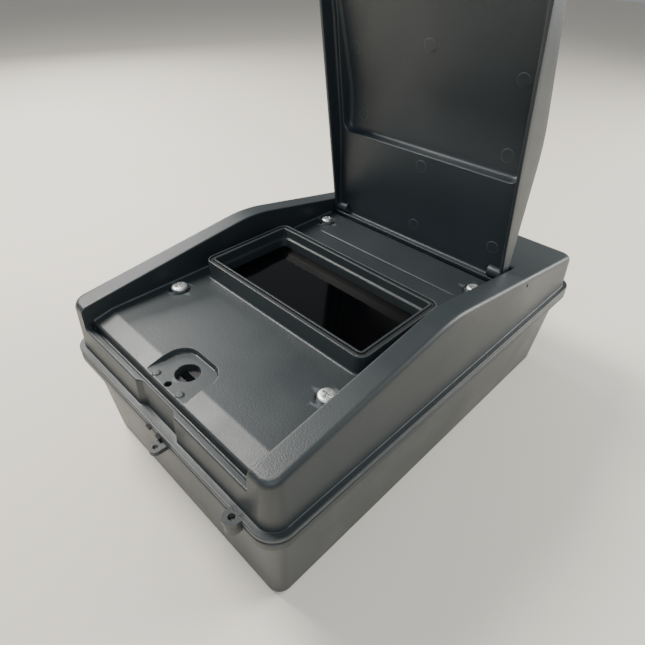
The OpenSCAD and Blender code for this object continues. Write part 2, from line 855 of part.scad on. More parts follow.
module power_supply_screws() {
    color("silver") supply_holes() translate([0, 0, supply_z + 2]) small_screw(6);
}

module terminal_block() {
    poles = 5;
    pitch = terminal_l / poles;
    color([0.75, 0.77, 0.74])
        translate([terminal_x - terminal_w / 2, terminal_y - terminal_l / 2, floor_t + 4]) difference() {
            cube([terminal_w, terminal_l, terminal_h]);
            for (i = [0 : poles - 1]) translate([0, (i + 0.5) * pitch, 0]) {
                translate([terminal_w / 2, 0, terminal_h - 3]) cylinder(d = 4, h = 5);
                translate([-1, -2, 3]) cube([6, 4, 5]);
                translate([terminal_w - 5, -2, 3]) cube([6, 4, 5]);
            }
        }
}

module cable_grommet() {
    color([0.08, 0.08, 0.08]) translate([entry_x, entry_y, 0]) difference() {
        union() {
            cylinder(d = entry_d - 0.02, h = floor_t + 1);
            translate([0, 0, floor_t + 1]) cylinder(d = entry_d + 5, h = 2);
        }
        translate([0, 0, 2]) cylinder(d = entry_d - 5, h = 10);
    }
}

base_box();
front_cover();
base_seal_ears();
cover_seal_ear();
cover_gasket();
lid();
hinge_pins();
lock_barrel();
lock_socket();
front_cover_screws();
rear_cover_screws();
front_inserts();
rear_inserts();
window_seal();
display_glass();
display_frame();
frame_screws();
display_panel();
main_board();
main_board_screws();
processor_can();
sounder();
display_socket();
ribbon_cable();
reader_board();
reader_screws();
reader_chip();
power_supply();
power_supply_screws();
terminal_block();
cable_grommet();
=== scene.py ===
"""Dressed model of a flip-lid parking payment terminal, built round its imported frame.

Lengths in the classes are millimetres. Heights are counted from the top of the cover's
flange, which the frame places. Each shell is a height map on a grid whose lines crowd
together at its edges, and collars, wells and holes are profiles carried along loops of
that grid.
"""

import logging
import math
from dataclasses import dataclass, field, replace
from enum import Enum

import bpy
import numpy as np
from mathutils import Matrix, Vector
from mathutils.geometry import tessellate_polygon


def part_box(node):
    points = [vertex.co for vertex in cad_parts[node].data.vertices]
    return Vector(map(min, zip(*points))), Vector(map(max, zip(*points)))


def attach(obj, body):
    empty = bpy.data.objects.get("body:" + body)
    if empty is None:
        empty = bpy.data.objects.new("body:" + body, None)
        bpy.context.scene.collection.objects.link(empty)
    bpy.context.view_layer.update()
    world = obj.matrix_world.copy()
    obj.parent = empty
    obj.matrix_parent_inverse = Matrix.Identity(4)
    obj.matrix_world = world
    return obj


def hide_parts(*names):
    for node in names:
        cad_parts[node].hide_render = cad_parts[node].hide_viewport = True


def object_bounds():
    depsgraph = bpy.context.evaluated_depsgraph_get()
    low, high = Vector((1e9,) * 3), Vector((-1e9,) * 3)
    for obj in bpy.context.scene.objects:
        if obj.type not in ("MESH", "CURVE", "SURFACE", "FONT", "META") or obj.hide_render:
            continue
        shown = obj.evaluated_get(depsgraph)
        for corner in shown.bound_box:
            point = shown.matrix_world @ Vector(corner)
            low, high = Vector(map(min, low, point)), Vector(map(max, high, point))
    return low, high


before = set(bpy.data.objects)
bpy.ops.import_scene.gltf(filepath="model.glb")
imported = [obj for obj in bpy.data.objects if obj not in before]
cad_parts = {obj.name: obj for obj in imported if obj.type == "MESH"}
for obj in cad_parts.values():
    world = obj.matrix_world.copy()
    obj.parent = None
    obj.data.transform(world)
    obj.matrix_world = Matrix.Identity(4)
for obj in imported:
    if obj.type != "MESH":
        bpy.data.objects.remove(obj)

CAD_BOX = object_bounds()
MM = 0.001
log = logging.getLogger("terminal")


# ---------- colours and shader nodes ----------


def linear(hex_colour: str) -> tuple[float, float, float, float]:
    """Turn an sRGB hex colour into linear light.

    Args:
        hex_colour: Six hex digits, with or without a leading hash sign.

    Returns:
        Red, green, blue and alpha as linear values.
    """
    digits = hex_colour.lstrip("#")
    srgb = np.array([int(digits[i : i + 2], 16) for i in (0, 2, 4)]) / 255
    light = np.where(srgb <= 0.04045, srgb / 12.92, ((srgb + 0.055) / 1.055) ** 2.4)
    return (float(light[0]), float(light[1]), float(light[2]), 1.0)


def per_metre(size_mm: float) -> float:
    """Texture scale whose features are about size_mm across, on coordinates in metres."""
    return 1 / (size_mm * MM)


def add_node(
    tree: bpy.types.NodeTree, kind: str, settings: dict | None = None, links: dict | None = None
) -> bpy.types.Node:
    """Add a shader node, set it up and wire its inputs.

    Args:
        tree: The node tree.
        kind: Blender's node type name, without the word ShaderNode.
        settings: Attribute names, or input names, to values.
        links: Input names or numbers to (node, output name) pairs.

    Returns:
        The new node.
    """
    node = tree.nodes.new("ShaderNode" + kind)
    for name, value in (settings or {}).items():
        if isinstance(name, str) and hasattr(node, name):
            setattr(node, name, value)
        else:
            node.inputs[name].default_value = value
    for name, (source, output) in (links or {}).items():
        tree.links.new(source.outputs[output], node.inputs[name])
    return node


def new_surface(name: str, **constants) -> tuple[bpy.types.Material, bpy.types.NodeTree, bpy.types.Node]:
    """Start a material that holds one principled surface.

    Args:
        name: The material's name.
        **constants: Input names of the surface, with underscores for spaces, to values.

    Returns:
        The material, its node tree and the surface node.
    """
    material = bpy.data.materials.new(name)
    material.use_nodes = True
    tree = material.node_tree
    tree.nodes.clear()
    surface = add_node(tree, "BsdfPrincipled", {k.replace("_", " "): v for k, v in constants.items()})
    add_node(tree, "OutputMaterial", links={"Surface": (surface, "BSDF")})
    return material, tree, surface


def coloured(
    tree: bpy.types.NodeTree, surface: bpy.types.Node, share: tuple[bpy.types.Node, str], low: str, high: str
) -> None:
    """Colour a surface between two tints.

    Args:
        tree: The node tree.
        surface: The principled surface.
        share: Node and output whose value picks the tint, from 0 to 1.
        low: Tint at 0, as sRGB hex.
        high: Tint at 1, as sRGB hex.
    """
    tint = add_node(tree, "Mix", {"data_type": "RGBA", 6: linear(low), 7: linear(high)}, {0: share})
    tree.links.new(tint.outputs["Result"], surface.inputs["Base Color"])


def polished(
    tree: bpy.types.NodeTree, surface: bpy.types.Node, share: tuple[bpy.types.Node, str], limits: tuple[float, ...]
) -> None:
    """Vary a surface's roughness.

    Args:
        tree: The node tree.
        surface: The principled surface.
        share: Node and output that the roughness follows.
        limits: The lowest and highest share, and the roughness at each.
    """
    names = ("From Min", "From Max", "To Min", "To Max")
    rough = add_node(tree, "MapRange", dict(zip(names, limits)), {"Value": share})
    tree.links.new(rough.outputs["Result"], surface.inputs["Roughness"])


def grained(
    tree: bpy.types.NodeTree, surface: bpy.types.Node, place: bpy.types.Node, size_mm: float, depth_mm: float,
    detail: float = 2.0, strength: float = 1.0,
) -> None:
    """Raise a fine random grain on a surface.

    Args:
        tree: The node tree.
        surface: The principled surface.
        place: The node that gives the coordinates.
        size_mm: Width of one grain.
        depth_mm: Its height.
        detail: Octaves of finer grain within it.
        strength: Share of the height that shows.
    """
    field = add_node(
        tree, "TexNoise", {"Scale": per_metre(size_mm), "Detail": detail}, {"Vector": (place, "Object")})
    height = {"Strength": strength, "Distance": depth_mm * MM}
    bump = add_node(tree, "Bump", height, {"Height": (field, "Fac")})
    tree.links.new(bump.outputs["Normal"], surface.inputs["Normal"])


@dataclass(frozen=True)
class MouldedPlastic:
    """Spark-eroded ABS: dark, satin, with a fine pebble that breaks up its highlights.

    The eye gets a soft sheen, faint cloudiness where hands have rubbed it, and paler convex edges: partly wear, partly
    a painted highlight along them.
    """

    name: str
    tint: str = "#2d3335"
    cloud_tint: str = "#262c2e"
    # Paler tint of convex edges: partly wear, partly a painted highlight of the bright edge lines.
    rubbed_and_highlight_tint: str = "#7b8486"
    pebble_mm: float = 0.6
    pebble_depth_mm: float = 0.06
    roughness: float = 0.4
    rub_and_highlight: float = 0.6

    def make(self) -> bpy.types.Material:
        """Build the material: clouds of two tints, paler in patches on convex edges, as wear and as a painted edge
        highlight.
        """
        material, tree, surface = new_surface(self.name, IOR=1.53)
        place = add_node(tree, "TexCoord")
        cloud = add_node(
            tree, "TexNoise", {"Scale": per_metre(45), "Detail": 4.0, "Roughness": 0.6}, {"Vector": (place, "Object")})
        tint = add_node(
            tree, "Mix", {"data_type": "RGBA", 6: linear(self.cloud_tint), 7: linear(self.tint)}, {0: (cloud, "Fac")})
        shape = add_node(tree, "NewGeometry")
        patchy = add_node(tree, "TexNoise", {"Scale": per_metre(4), "Detail": 5.0}, {"Vector": (place, "Object")})
        # Convex edges turn paler in patches by pointiness: wear, and a painted highlight along each edge.
        edge = add_node(
            tree, "MapRange", {"From Min": 0.52, "From Max": 0.58, "To Max": self.rub_and_highlight},
            {"Value": (shape, "Pointiness")})
        worn_and_highlit = add_node(tree, "Math", {"operation": "MULTIPLY"}, {0: (edge, "Result"), 1: (patchy, "Fac")})
        colour = add_node(
            tree, "Mix", {"data_type": "RGBA", 7: linear(self.rubbed_and_highlight_tint)}, {0: (worn_and_highlit, "Value"), 6: (tint, "Result")})
        tree.links.new(colour.outputs["Result"], surface.inputs["Base Color"])
        # The moulded pebble is finer than this; it is drawn as coarse as it needs to show.
        grained(tree, surface, place, self.pebble_mm, self.pebble_depth_mm)
        polished(tree, surface, (cloud, "Fac"), (0.3, 0.7, self.roughness - 0.05, self.roughness + 0.07))
        return material


@dataclass(frozen=True)
class PlatedSteel:
    """Turned steel with a bright plating: clear highlights, slightly hazed, with small scratches."""

    name: str
    tint: str = "#e3e5e3"
    shade_tint: str = "#b9bcbb"
    roughness: float = 0.42
    scratch_mm: float = 0.5

    def make(self) -> bpy.types.Material:
        """Build the material."""
        material, tree, surface = new_surface(self.name, Metallic=1.0)
        place = add_node(tree, "TexCoord")
        haze = add_node(tree, "TexNoise", {"Scale": per_metre(2.0), "Detail": 4.0}, {"Vector": (place, "Object")})
        coloured(tree, surface, (haze, "Fac"), self.shade_tint, self.tint)
        polished(tree, surface, (haze, "Fac"), (0, 1, self.roughness - 0.08, self.roughness + 0.14))
        grained(tree, surface, place, self.scratch_mm, 0.02, 3.0, 0.4)
        return material


@dataclass(frozen=True)
class SoftRubber:
    """Extruded or pressed rubber: nearly black, matt, with a dusty bloom."""

    name: str
    tint: str = "#0b0b0c"
    bloom_tint: str = "#151616"
    roughness: float = 0.72

    def make(self) -> bpy.types.Material:
        """Build the material."""
        material, tree, surface = new_surface(self.name, IOR=1.52, Roughness=self.roughness)
        place = add_node(tree, "TexCoord")
        bloom = add_node(tree, "TexNoise", {"Scale": per_metre(6), "Detail": 5.0}, {"Vector": (place, "Object")})
        coloured(tree, surface, (bloom, "Fac"), self.tint, self.bloom_tint)
        grained(tree, surface, place, 0.5, 0.03, strength=0.5)
        return material


@dataclass(frozen=True)
class BackPaintedGlass:
    """Float glass printed black on its back: a clean mirror-like face with faint dust on it."""

    name: str
    tint: str = "#030304"
    dust_tint: str = "#17181a"
    roughness: float = 0.05

    def make(self) -> bpy.types.Material:
        """Build the material."""
        material, tree, surface = new_surface(self.name, IOR=1.5, Specular_IOR_Level=0.3)
        place = add_node(tree, "TexCoord")
        dust = add_node(
            tree, "TexNoise", {"Scale": per_metre(1.2), "Detail": 6.0, "Roughness": 0.7}, {"Vector": (place, "Object")})
        lift = add_node(tree, "MapRange", {"From Min": 0.62, "From Max": 0.8, "To Max": 0.5}, {"Value": (dust, "Fac")})
        coloured(tree, surface, (lift, "Result"), self.tint, self.dust_tint)
        polished(tree, surface, (dust, "Fac"), (0, 1, self.roughness, self.roughness + 0.06))
        return material


@dataclass(frozen=True)
class BoardLaminate:
    """Glass-fibre board under solder mask: glossy green with fine copper tracks showing through."""

    name: str
    tint: str = "#0f4a2c"
    track_tint: str = "#1c6a40"

    def make(self) -> bpy.types.Material:
        """Build the material."""
        material, tree, surface = new_surface(self.name, IOR=1.5, Roughness=0.3)
        place = add_node(tree, "TexCoord")
        green, copper = linear(self.tint), linear(self.track_tint)
        pattern = {"Scale": per_metre(3), "Mortar Size": 0.03, "Color1": green, "Color2": green, "Mortar": copper}
        tracks = add_node(tree, "TexBrick", pattern, {"Vector": (place, "Object")})
        tree.links.new(tracks.outputs["Color"], surface.inputs["Base Color"])
        return material


class Finish(Enum):
    """The finishes of this terminal, each tied to the record's slot of the same look."""

    HOUSING = MouldedPlastic("housing_grained_abs", rub_and_highlight=0.0)
    DECK = MouldedPlastic("cover_grained_abs", "#2f3537", "#282e30", pebble_depth_mm=0.08)
    LID = MouldedPlastic("lid_grained_abs", "#283035", "#232a2e", pebble_depth_mm=0.05, roughness=0.44)
    ZINC = PlatedSteel("bright_zinc_steel")
    NICKEL = PlatedSteel("nickel_lock_steel", tint="#b9bab7", roughness=0.2)
    BRASS = PlatedSteel("plain_brass", tint="#c9a35a", shade_tint="#a8843f", roughness=0.3)
    ALUMINIUM = PlatedSteel("sheet_aluminium", tint="#a9abad", shade_tint="#8d8f92", roughness=0.42)
    RUBBER = SoftRubber("seal_rubber")
    # The third tint of each moulded finish here is its paler edge: partly wear, partly a painted highlight.
    BLACK_PART = MouldedPlastic("black_glass_filled_nylon", "#191a1b", "#131415", "#2d2e2f")
    GLASS = BackPaintedGlass("back_painted_glass")
    BOARD = BoardLaminate("green_board")
    IVORY = MouldedPlastic("ivory_nylon", "#d9d2b8", "#cfc8ae", "#ece7d4")
    GREY_PART = MouldedPlastic("grey_polyamide", "#9ba39a", "#8f978e", "#b9bfb7")
    RIBBON = MouldedPlastic("ribbon_vinyl", "#9a9da1", "#8f9296", "#b4b7ba", pebble_depth_mm=0.01)


class Finishes:
    """Makes each finish once and hands it out."""

    def __init__(self) -> None:
        """Start with no material made."""
        self.made: dict[Finish, bpy.types.Material] = {}

    def give(self, piece: bpy.types.Object, finish: Finish) -> None:
        """Dress a piece in a finish, in place of any material it has."""
        if finish not in self.made:
            self.made[finish] = finish.value.make()
        piece.data.materials.clear()
        piece.data.materials.append(self.made[finish])


# ---------- curves and outlines ----------


def filleted(corners: list[tuple[float, float, float]], steps: int = 5) -> np.ndarray:
    """Round the corners of an open line.

    Each inner corner becomes an arc that touches both of its sides, of the radius given.

    Args:
        corners: Points (a, b, radius); the first and last are kept sharp.
        steps: Segments along each arc.

    Returns:
        Points of the rounded line, one row each.
    """
    points = np.array(corners, float)
    out = [points[:1, :2]]
    for before, here, after in zip(points[:-2], points[1:-1], points[2:]):
        inward, outward = before[:2] - here[:2], after[:2] - here[:2]
        inward, outward = inward / np.linalg.norm(inward), outward / np.linalg.norm(outward)
        half = math.acos(float(np.clip(inward @ outward, -1, 1))) / 2
        radius = here[2]
        if radius <= 0 or abs(half - math.pi / 2) < 1e-4:
            out.append(here[None, :2])
            continue
        reach = radius / math.tan(half)
        middle = (inward + outward) / np.linalg.norm(inward + outward)
        centre = here[:2] + middle * radius / math.sin(half)
        start, end = here[:2] + inward * reach - centre, here[:2] + outward * reach - centre
        turn = math.pi - 2 * half
        share = np.linspace(0, 1, steps + 1)[:, None]
        arc = (np.sin((1 - share) * turn) * start + np.sin(share * turn) * end) / math.sin(turn)
        out.append(centre + arc)
    out.append(points[-1:, :2])
    return np.concatenate(out)


def quarter(radius: float, steps: int = 6) -> np.ndarray:
    """Distances from an edge at which a quarter round of that radius is cut, from 0 to radius."""
    return radius * (1 - np.cos(np.linspace(0, math.pi / 2, steps + 1)))


def round_drop(distance: np.ndarray, radius: np.ndarray | float) -> np.ndarray:
    """How far a quarter round falls below its flat: R - sqrt(R^2 - (R - d)^2) for d under R."""
    short = np.clip(radius - distance, 0, radius)
    return radius - np.sqrt(np.maximum(np.square(radius) - short**2, 0))


def smooth(share: np.ndarray) -> np.ndarray:
    """Smooth step from 0 to 1: 3t^2 - 2t^3 of the share, held between 0 and 1."""
    held = np.clip(share, 0, 1)
    return held * held * (3 - 2 * held)


@dataclass(frozen=True)
class Outline:
    """A convex plan outline: a rectangle with round corners. A circle has half sizes equal to its radius."""

    centre_x: float
    centre_y: float
    half_x: float
    half_y: float
    radius: float

    @staticmethod
    def circle(x: float, y: float, radius: float) -> "Outline":
        """A round outline."""
        return Outline(x, y, radius, radius, radius)

    def measure(self, points: np.ndarray) -> tuple[np.ndarray, np.ndarray]:
        """Distance to the outline and the outward direction at each point.

        With q the point's reach past the inner rectangle on each axis, the distance is
        |q| - r where both are positive, and the larger of the two less r elsewhere.

        Args:
            points: Array whose last axis is x, y.

        Returns:
            Signed distance, negative inside, and unit vectors of the same shape as points.
        """
        away = points - np.array([self.centre_x, self.centre_y])
        inner = np.array([self.half_x - self.radius, self.half_y - self.radius])
        past = np.abs(away) - inner
        corner = (past > 0).all(axis=-1)
        reach = np.linalg.norm(np.maximum(past, 0), axis=-1)
        signed = np.where(corner, reach, past.max(axis=-1)) - self.radius
        side = np.zeros_like(past)
        wide = past[..., 0] >= past[..., 1]
        side[..., 0], side[..., 1] = wide, ~wide
        bent = np.where(corner[..., None], past / np.maximum(reach, 1e-9)[..., None], side)
        return signed, bent * np.where(away < 0, -1.0, 1.0)

    def loop(self, arc_steps: int = 8, pitch: float = 6.0) -> tuple[np.ndarray, np.ndarray]:
        """Points round the outline, anticlockwise, with their outward directions.

        Args:
            arc_steps: Segments along each corner.
            pitch: Longest segment along the straight sides, in mm.

        Returns:
            Points and unit vectors, one row each.
        """
        turn = np.linspace(0, math.pi / 2, arc_steps + 1)
        points, ways = [], []
        inner = np.array([self.half_x - self.radius, self.half_y - self.radius])
        for k, sign in enumerate(((1, 1), (-1, 1), (-1, -1), (1, -1))):
            angle = turn + k * math.pi / 2
            way = np.stack([np.cos(angle), np.sin(angle)], axis=-1)
            here = inner * sign + way * self.radius
            following = inner * ((-1, 1), (-1, -1), (1, -1), (1, 1))[k] + way[-1] * self.radius
            count = max(1, int(np.linalg.norm(following - here[-1]) / pitch))
            share = np.linspace(0, 1, count + 1)[1:-1, None]
            points += [here, here[-1] + share * (following - here[-1])]
            ways += [way, np.repeat(way[-1:], len(share), axis=0)]
        return np.concatenate(points) + np.array([self.centre_x, self.centre_y]), np.concatenate(ways)

    def moved(self, out: float, arc_steps: int, pitch: float, least_r: float = 0.05) -> np.ndarray:
        """Points of the outline set out by a distance, as many as the outline itself has.

        Where the wider outline would have another number of points, the outline's own are
        moved along their outward ways.

        Args:
            out: The distance, negative inwards.
            arc_steps: Segments along each corner.
            pitch: Longest segment along the straight sides, in mm.
            least_r: Smallest corner radius.

        Returns:
            Points, one row each.
        """
        loop, ways = self.loop(arc_steps, pitch)
        radius = max(self.radius + out, least_r)
        wider = replace(self, half_x=self.half_x + out, half_y=self.half_y + out, radius=radius)
        spots, _ = wider.loop(arc_steps, pitch)
        return spots if len(spots) == len(loop) else loop + ways * out


# ---------- meshes ----------


class Shell:
    """Gathers the vertices and faces of one mesh, in mm."""

    def __init__(self) -> None:
        """Start empty."""
        self.blocks: list[np.ndarray] = []
        self.quads: list[np.ndarray] = []
        self.others: list[list[int]] = []
        self.count = 0

    def add(self, points: np.ndarray) -> np.ndarray:
        """Take in points, in any array shape, and return their numbers in that shape.

        Args:
            points: Positions in mm; the last axis is x, y, z.

        Returns:
            Vertex numbers in the shape of the points.
        """
        flat = points.reshape(-1, 3)
        numbers = np.arange(self.count, self.count + len(flat)).reshape(points.shape[:-1])
        self.blocks.append(flat)
        self.count += len(flat)
        return numbers

    def skin(self, ids: np.ndarray, keep: np.ndarray | None = None, flip: bool = False) -> None:
        """Face a grid of vertex numbers.

        Args:
            ids: Vertex numbers by row and column.
            keep: Which faces to make, one fewer each way; all if left out.
            flip: Turn the faces over.
        """
        faces = np.stack([ids[:-1, :-1], ids[:-1, 1:], ids[1:, 1:], ids[1:, :-1]], axis=-1)
        faces = faces[keep] if keep is not None else faces.reshape(-1, 4)
        self.quads.append(faces[:, ::-1] if flip else faces)

    def bands(self, rings: list[np.ndarray], flip: bool = False) -> None:
        """Face the bands between closed rings of equally many vertices."""
        closed = np.stack([np.append(ring, ring[0]) for ring in rings])
        self.skin(closed, flip=flip)

    def cap(self, ring: np.ndarray, flip: bool = False) -> None:
        """Close a ring with one face."""
        self.others.append([int(n) for n in (ring[::-1] if flip else ring)])

    def fill(self, rings: list[np.ndarray], flip: bool = False, axis: int = 2) -> None:
        """Close a flat area between an outer ring and the rings of its holes, facing up the axis given.

        Args:
            rings: The outer ring, then the rings of the holes.
            flip: Turn the faces over.
            axis: Number of the axis that they face up.
        """
        points = np.concatenate(self.blocks)
        loops = [[Vector(points[n]) for n in ring] for ring in rings]
        numbers = np.concatenate(rings)
        for face in tessellate_polygon(loops):
            corners = points[numbers[list(face)]]
            up = np.cross(corners[1] - corners[0], corners[2] - corners[0])[axis] > 0
            self.others.append([int(n) for n in numbers[list(face if up != flip else face[::-1])]])

    def finish(self, name: str, place: Matrix | None = None, sharp_deg: float = 38) -> bpy.types.Object:
        """Make the Blender object.

        Args:
            name: The piece's name.
            place: A turn and shift in mm for the finished mesh; none if left out.
            sharp_deg: Edges that turn by more than this stay sharp.

        Returns:
            The new object, at the origin, with its place in its mesh.
        """
        mesh = bpy.data.meshes.new(name)
        faces = [q.tolist() for block in self.quads for q in block] + self.others
        mesh.from_pydata(np.concatenate(self.blocks) * MM, [], faces)
        if place is not None:
            turn = place.to_3x3().to_4x4()
            turn.translation = place.translation * MM
            mesh.transform(turn)
        mesh.validate()
        mesh.polygons.foreach_set("use_smooth", np.ones(len(mesh.polygons), bool))
        mesh.set_sharp_from_angle(angle=math.radians(sharp_deg))
        piece = bpy.data.objects.new(name, mesh)
        bpy.context.scene.collection.objects.link(piece)
        return piece


def at(plan: np.ndarray, height: np.ndarray | float) -> np.ndarray:
    """Put plan points, one row each, at a height."""
    return np.column_stack([plan, np.broadcast_to(height, len(plan))])


def all_round(steps: int) -> np.ndarray:
    """Unit vectors at equal angles round a circle, anticlockwise from +X."""
    angle = np.linspace(0, 2 * math.pi, steps, endpoint=False)
    return np.stack([np.cos(angle), np.sin(angle)], axis=-1)


def turned(
    shell: Shell, profile: np.ndarray, centre: tuple[float, float, float], steps: int, axis: str = "Z"
) -> list[np.ndarray]:
    """Turn a profile of (radius, height) about an axis and add its rings to a shell.

    Args:
        shell: The shell that takes the points.
        profile: Rows of radius and height along the axis.
        centre: The point on the axis where the height is 0.
        steps: Segments round the axis.
        axis: Z, or X for a piece that lies across.

    Returns:
        One ring of vertex numbers for each row of the profile.
    """
    rings = []
    for radius, height in profile:
        flat = all_round(steps) * radius
        along = np.full(steps, height)
        parts = (flat[:, 0], flat[:, 1], along) if axis == "Z" else (along, flat[:, 0], flat[:, 1])
        rings.append(shell.add(np.stack(parts, axis=-1) + np.array(centre)))
    return rings


def slab(shell: Shell, outline: Outline, low: float, high: float, edge: float) -> None:
    """Add a flat slab whose upper and lower edges are rounded, closed at both faces.

    Args:
        shell: The shell that takes it.
        outline: Its plan.
        low: Height of its lower face.
        high: Height of its upper face.
        edge: Radius of the edges.
    """
    line = filleted([(-edge - 0.01, low, 0), (0, low, edge), (0, high, edge), (-edge - 0.01, high, 0)], 3)
    rings = [shell.add(at(outline.moved(out, 6, 50), height)) for out, height in line]
    shell.bands(rings)
    shell.cap(rings[0], flip=True)
    shell.cap(rings[-1])


def grid_edge(ids: np.ndarray) -> np.ndarray:
    """Numbers round a grid's border, anticlockwise."""
    return np.concatenate([ids[0, :-1], ids[:-1, -1], ids[-1, :0:-1], ids[:0:-1, 0]])


class HeightGrid:
    """A grid of points over the plan, out of which faces are cut for what stands in it."""

    def __init__(self, x: np.ndarray, y: np.ndarray, z: np.ndarray) -> None:
        """Take coordinates by row and column."""
        self.x, self.y, self.z = x.copy(), y.copy(), z.copy()
        self.keep = np.ones((x.shape[0] - 1, x.shape[1] - 1), bool)

    def inside(self, outline: Outline) -> np.ndarray:
        """Which faces have their middle inside the outline."""
        plan = np.stack([self.x, self.y], axis=-1)
        middle = (plan[:-1, :-1] + plan[1:, :-1] + plan[:-1, 1:] + plan[1:, 1:]) / 4
        return outline.measure(middle)[0] < 0

    def rim_of(self, region: np.ndarray) -> tuple[np.ndarray, np.ndarray]:
        """Rows and columns of the points between a region's faces and the others, anticlockwise.

        Args:
            region: Which faces are in the region.

        Returns:
            Row and column numbers.
        """
        touches = []
        for faces in (region, self.keep & ~region):
            wide = np.pad(faces, 1)
            touches.append(wide[:-1, :-1] | wide[1:, :-1] | wide[:-1, 1:] | wide[1:, 1:])
        rows, cols = np.nonzero(touches[0] & touches[1])
        x, y = (line[rows, cols] - line[touches[0]].mean() for line in (self.x, self.y))
        order = np.argsort(np.arctan2(y, x))
        return rows[order], cols[order]

    def cut_out(self, ids: np.ndarray, outline: Outline) -> np.ndarray:
        """Take the faces inside an outline out of the grid.

        Args:
            ids: The grid's vertex numbers.
            outline: What to clear.

        Returns:
            The vertex numbers round the hole, anticlockwise.
        """
        region = self.inside(outline)
        rows, cols = self.rim_of(region)
        self.keep &= ~region
        return ids[rows, cols]

    def points(self) -> np.ndarray:
        """All points, by row and column."""
        return np.stack([self.x, self.y, self.z], axis=-1)


def stations(*stretches: tuple[float, float, float]) -> np.ndarray:
    """Places along a line: each stretch is (start, end, longest step), in order."""
    counts = [max(1, math.ceil(abs(b - a) / step)) for a, b, step in stretches]
    parts = [np.linspace(a, b, count + 1)[:-1] for (a, b, _), count in zip(stretches, counts)]
    return np.append(np.concatenate(parts), stretches[-1][1])


def spread(values: np.ndarray, step: float = 0.15) -> np.ndarray:
    """The same places, moved on where needed so that each lies at least a step past the one before."""
    count = np.arange(len(values)) * step
    return np.maximum.accumulate(values - count) + count


# ---------- measures that several pieces share ----------


@dataclass
class Housing:
    """Sizes of the housing that the shells, the lid and the fittings have in common."""

    half_w: float = 78.0
    half_l: float = 124.0
    corner_r: float = 8.0
    flange_out: float = 3.0
    flange_t: float = 2.4
    half_bay: float = 64.5
    lip_h: float = 15.0
    lip_t: float = 3.2
    groove_w: float = 1.6
    groove_floor: float = 13.0
    ramp_l: float = 10.0
    ramp_h: float = 17.8
    deck_h: float = 20.2
    deck_slope: float = 0.85
    apex_h: float = 42.7
    apex_y: float = -14.0
    front_slope: float = 8.3
    rear_slope: float = 9.4
    crest_r: float = 80.0
    draft: float = 1.6 / 46.7
    hinge_y: float = 58.0
    hinge_h: float = 26.8
    open_angle: float = 82.5
    trench_y: float = 52.4
    trench_h: float = 18.9
    bay_back_y: float = 65.0
    lock_y: float = -105.8
    locator_y: float = -115.8
    recess_h: float = 18.0
    flange_top: float = field(init=False)

    def __post_init__(self) -> None:
        """Find the flange's top in the frame: the gasket's top and the flange above it."""
        self.flange_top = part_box("cover_gasket")[1].z / MM + self.flange_t

    @property
    def front_y(self) -> float:
        """Outer face of the front lip at its top."""
        return -self.half_l + self.draft * self.lip_h

    @property
    def groove_y(self) -> float:
        """Front side of the drip groove."""
        return self.front_y + self.lip_t

    @property
    def ramp_y(self) -> float:
        """Foot of the ramp behind the groove."""
        return self.groove_y + self.groove_w

    @property
    def crease_y(self) -> float:
        """Where the ramp meets the deck."""
        return self.ramp_y + self.ramp_l

    def deck_at(self, y: np.ndarray | float) -> np.ndarray | float:
        """Height of the sloping deck: its height at the crease plus the run times the slope."""
        return self.deck_h + (y - self.crease_y) * math.tan(math.radians(self.deck_slope))

    def crest(self, y: np.ndarray) -> np.ndarray:
        """Height of the cheeks' crest: two slopes that meet in an arc of the crest radius.

        Within reach of the apex the height is that of the arc's circle, outside it that of
        the two straight lines.

        Args:
            y: Places along the length, in mm.

        Returns:
            Heights over the flange.
        """
        a, b = math.radians(self.front_slope), math.radians(self.rear_slope)
        run = self.crest_r * math.tan((a + b) / 2)
        first = np.array([self.apex_y - run * math.cos(a), self.apex_h - run * math.sin(a)])
        last_y = self.apex_y + run * math.cos(b)
        centre = first + self.crest_r * np.array([math.sin(a), -math.cos(a)])
        arc = centre[1] + np.sqrt(np.maximum(self.crest_r**2 - (y - centre[0]) ** 2, 0))
        rise = self.apex_h + (y - self.apex_y) * math.tan(a)
        fall = self.apex_h - (y - self.apex_y) * math.tan(b)
        return np.where(y < first[0], rise, np.where(y > last_y, fall, arc))

    def lift(self) -> Matrix:
        """Shift from heights over the flange to the frame."""
        return Matrix.Translation((0, 0, self.flange_top))

    def swing(self) -> Matrix:
        """Turn about the hinge from the closed lid to the open one, then the shift to the frame."""
        hinge = Matrix.Translation((0, self.hinge_y, self.hinge_h))
        turn = Matrix.Rotation(-math.radians(self.open_angle), 4, "X")
        return self.lift() @ hinge @ turn @ hinge.inverted()


# ---------- front cover ----------


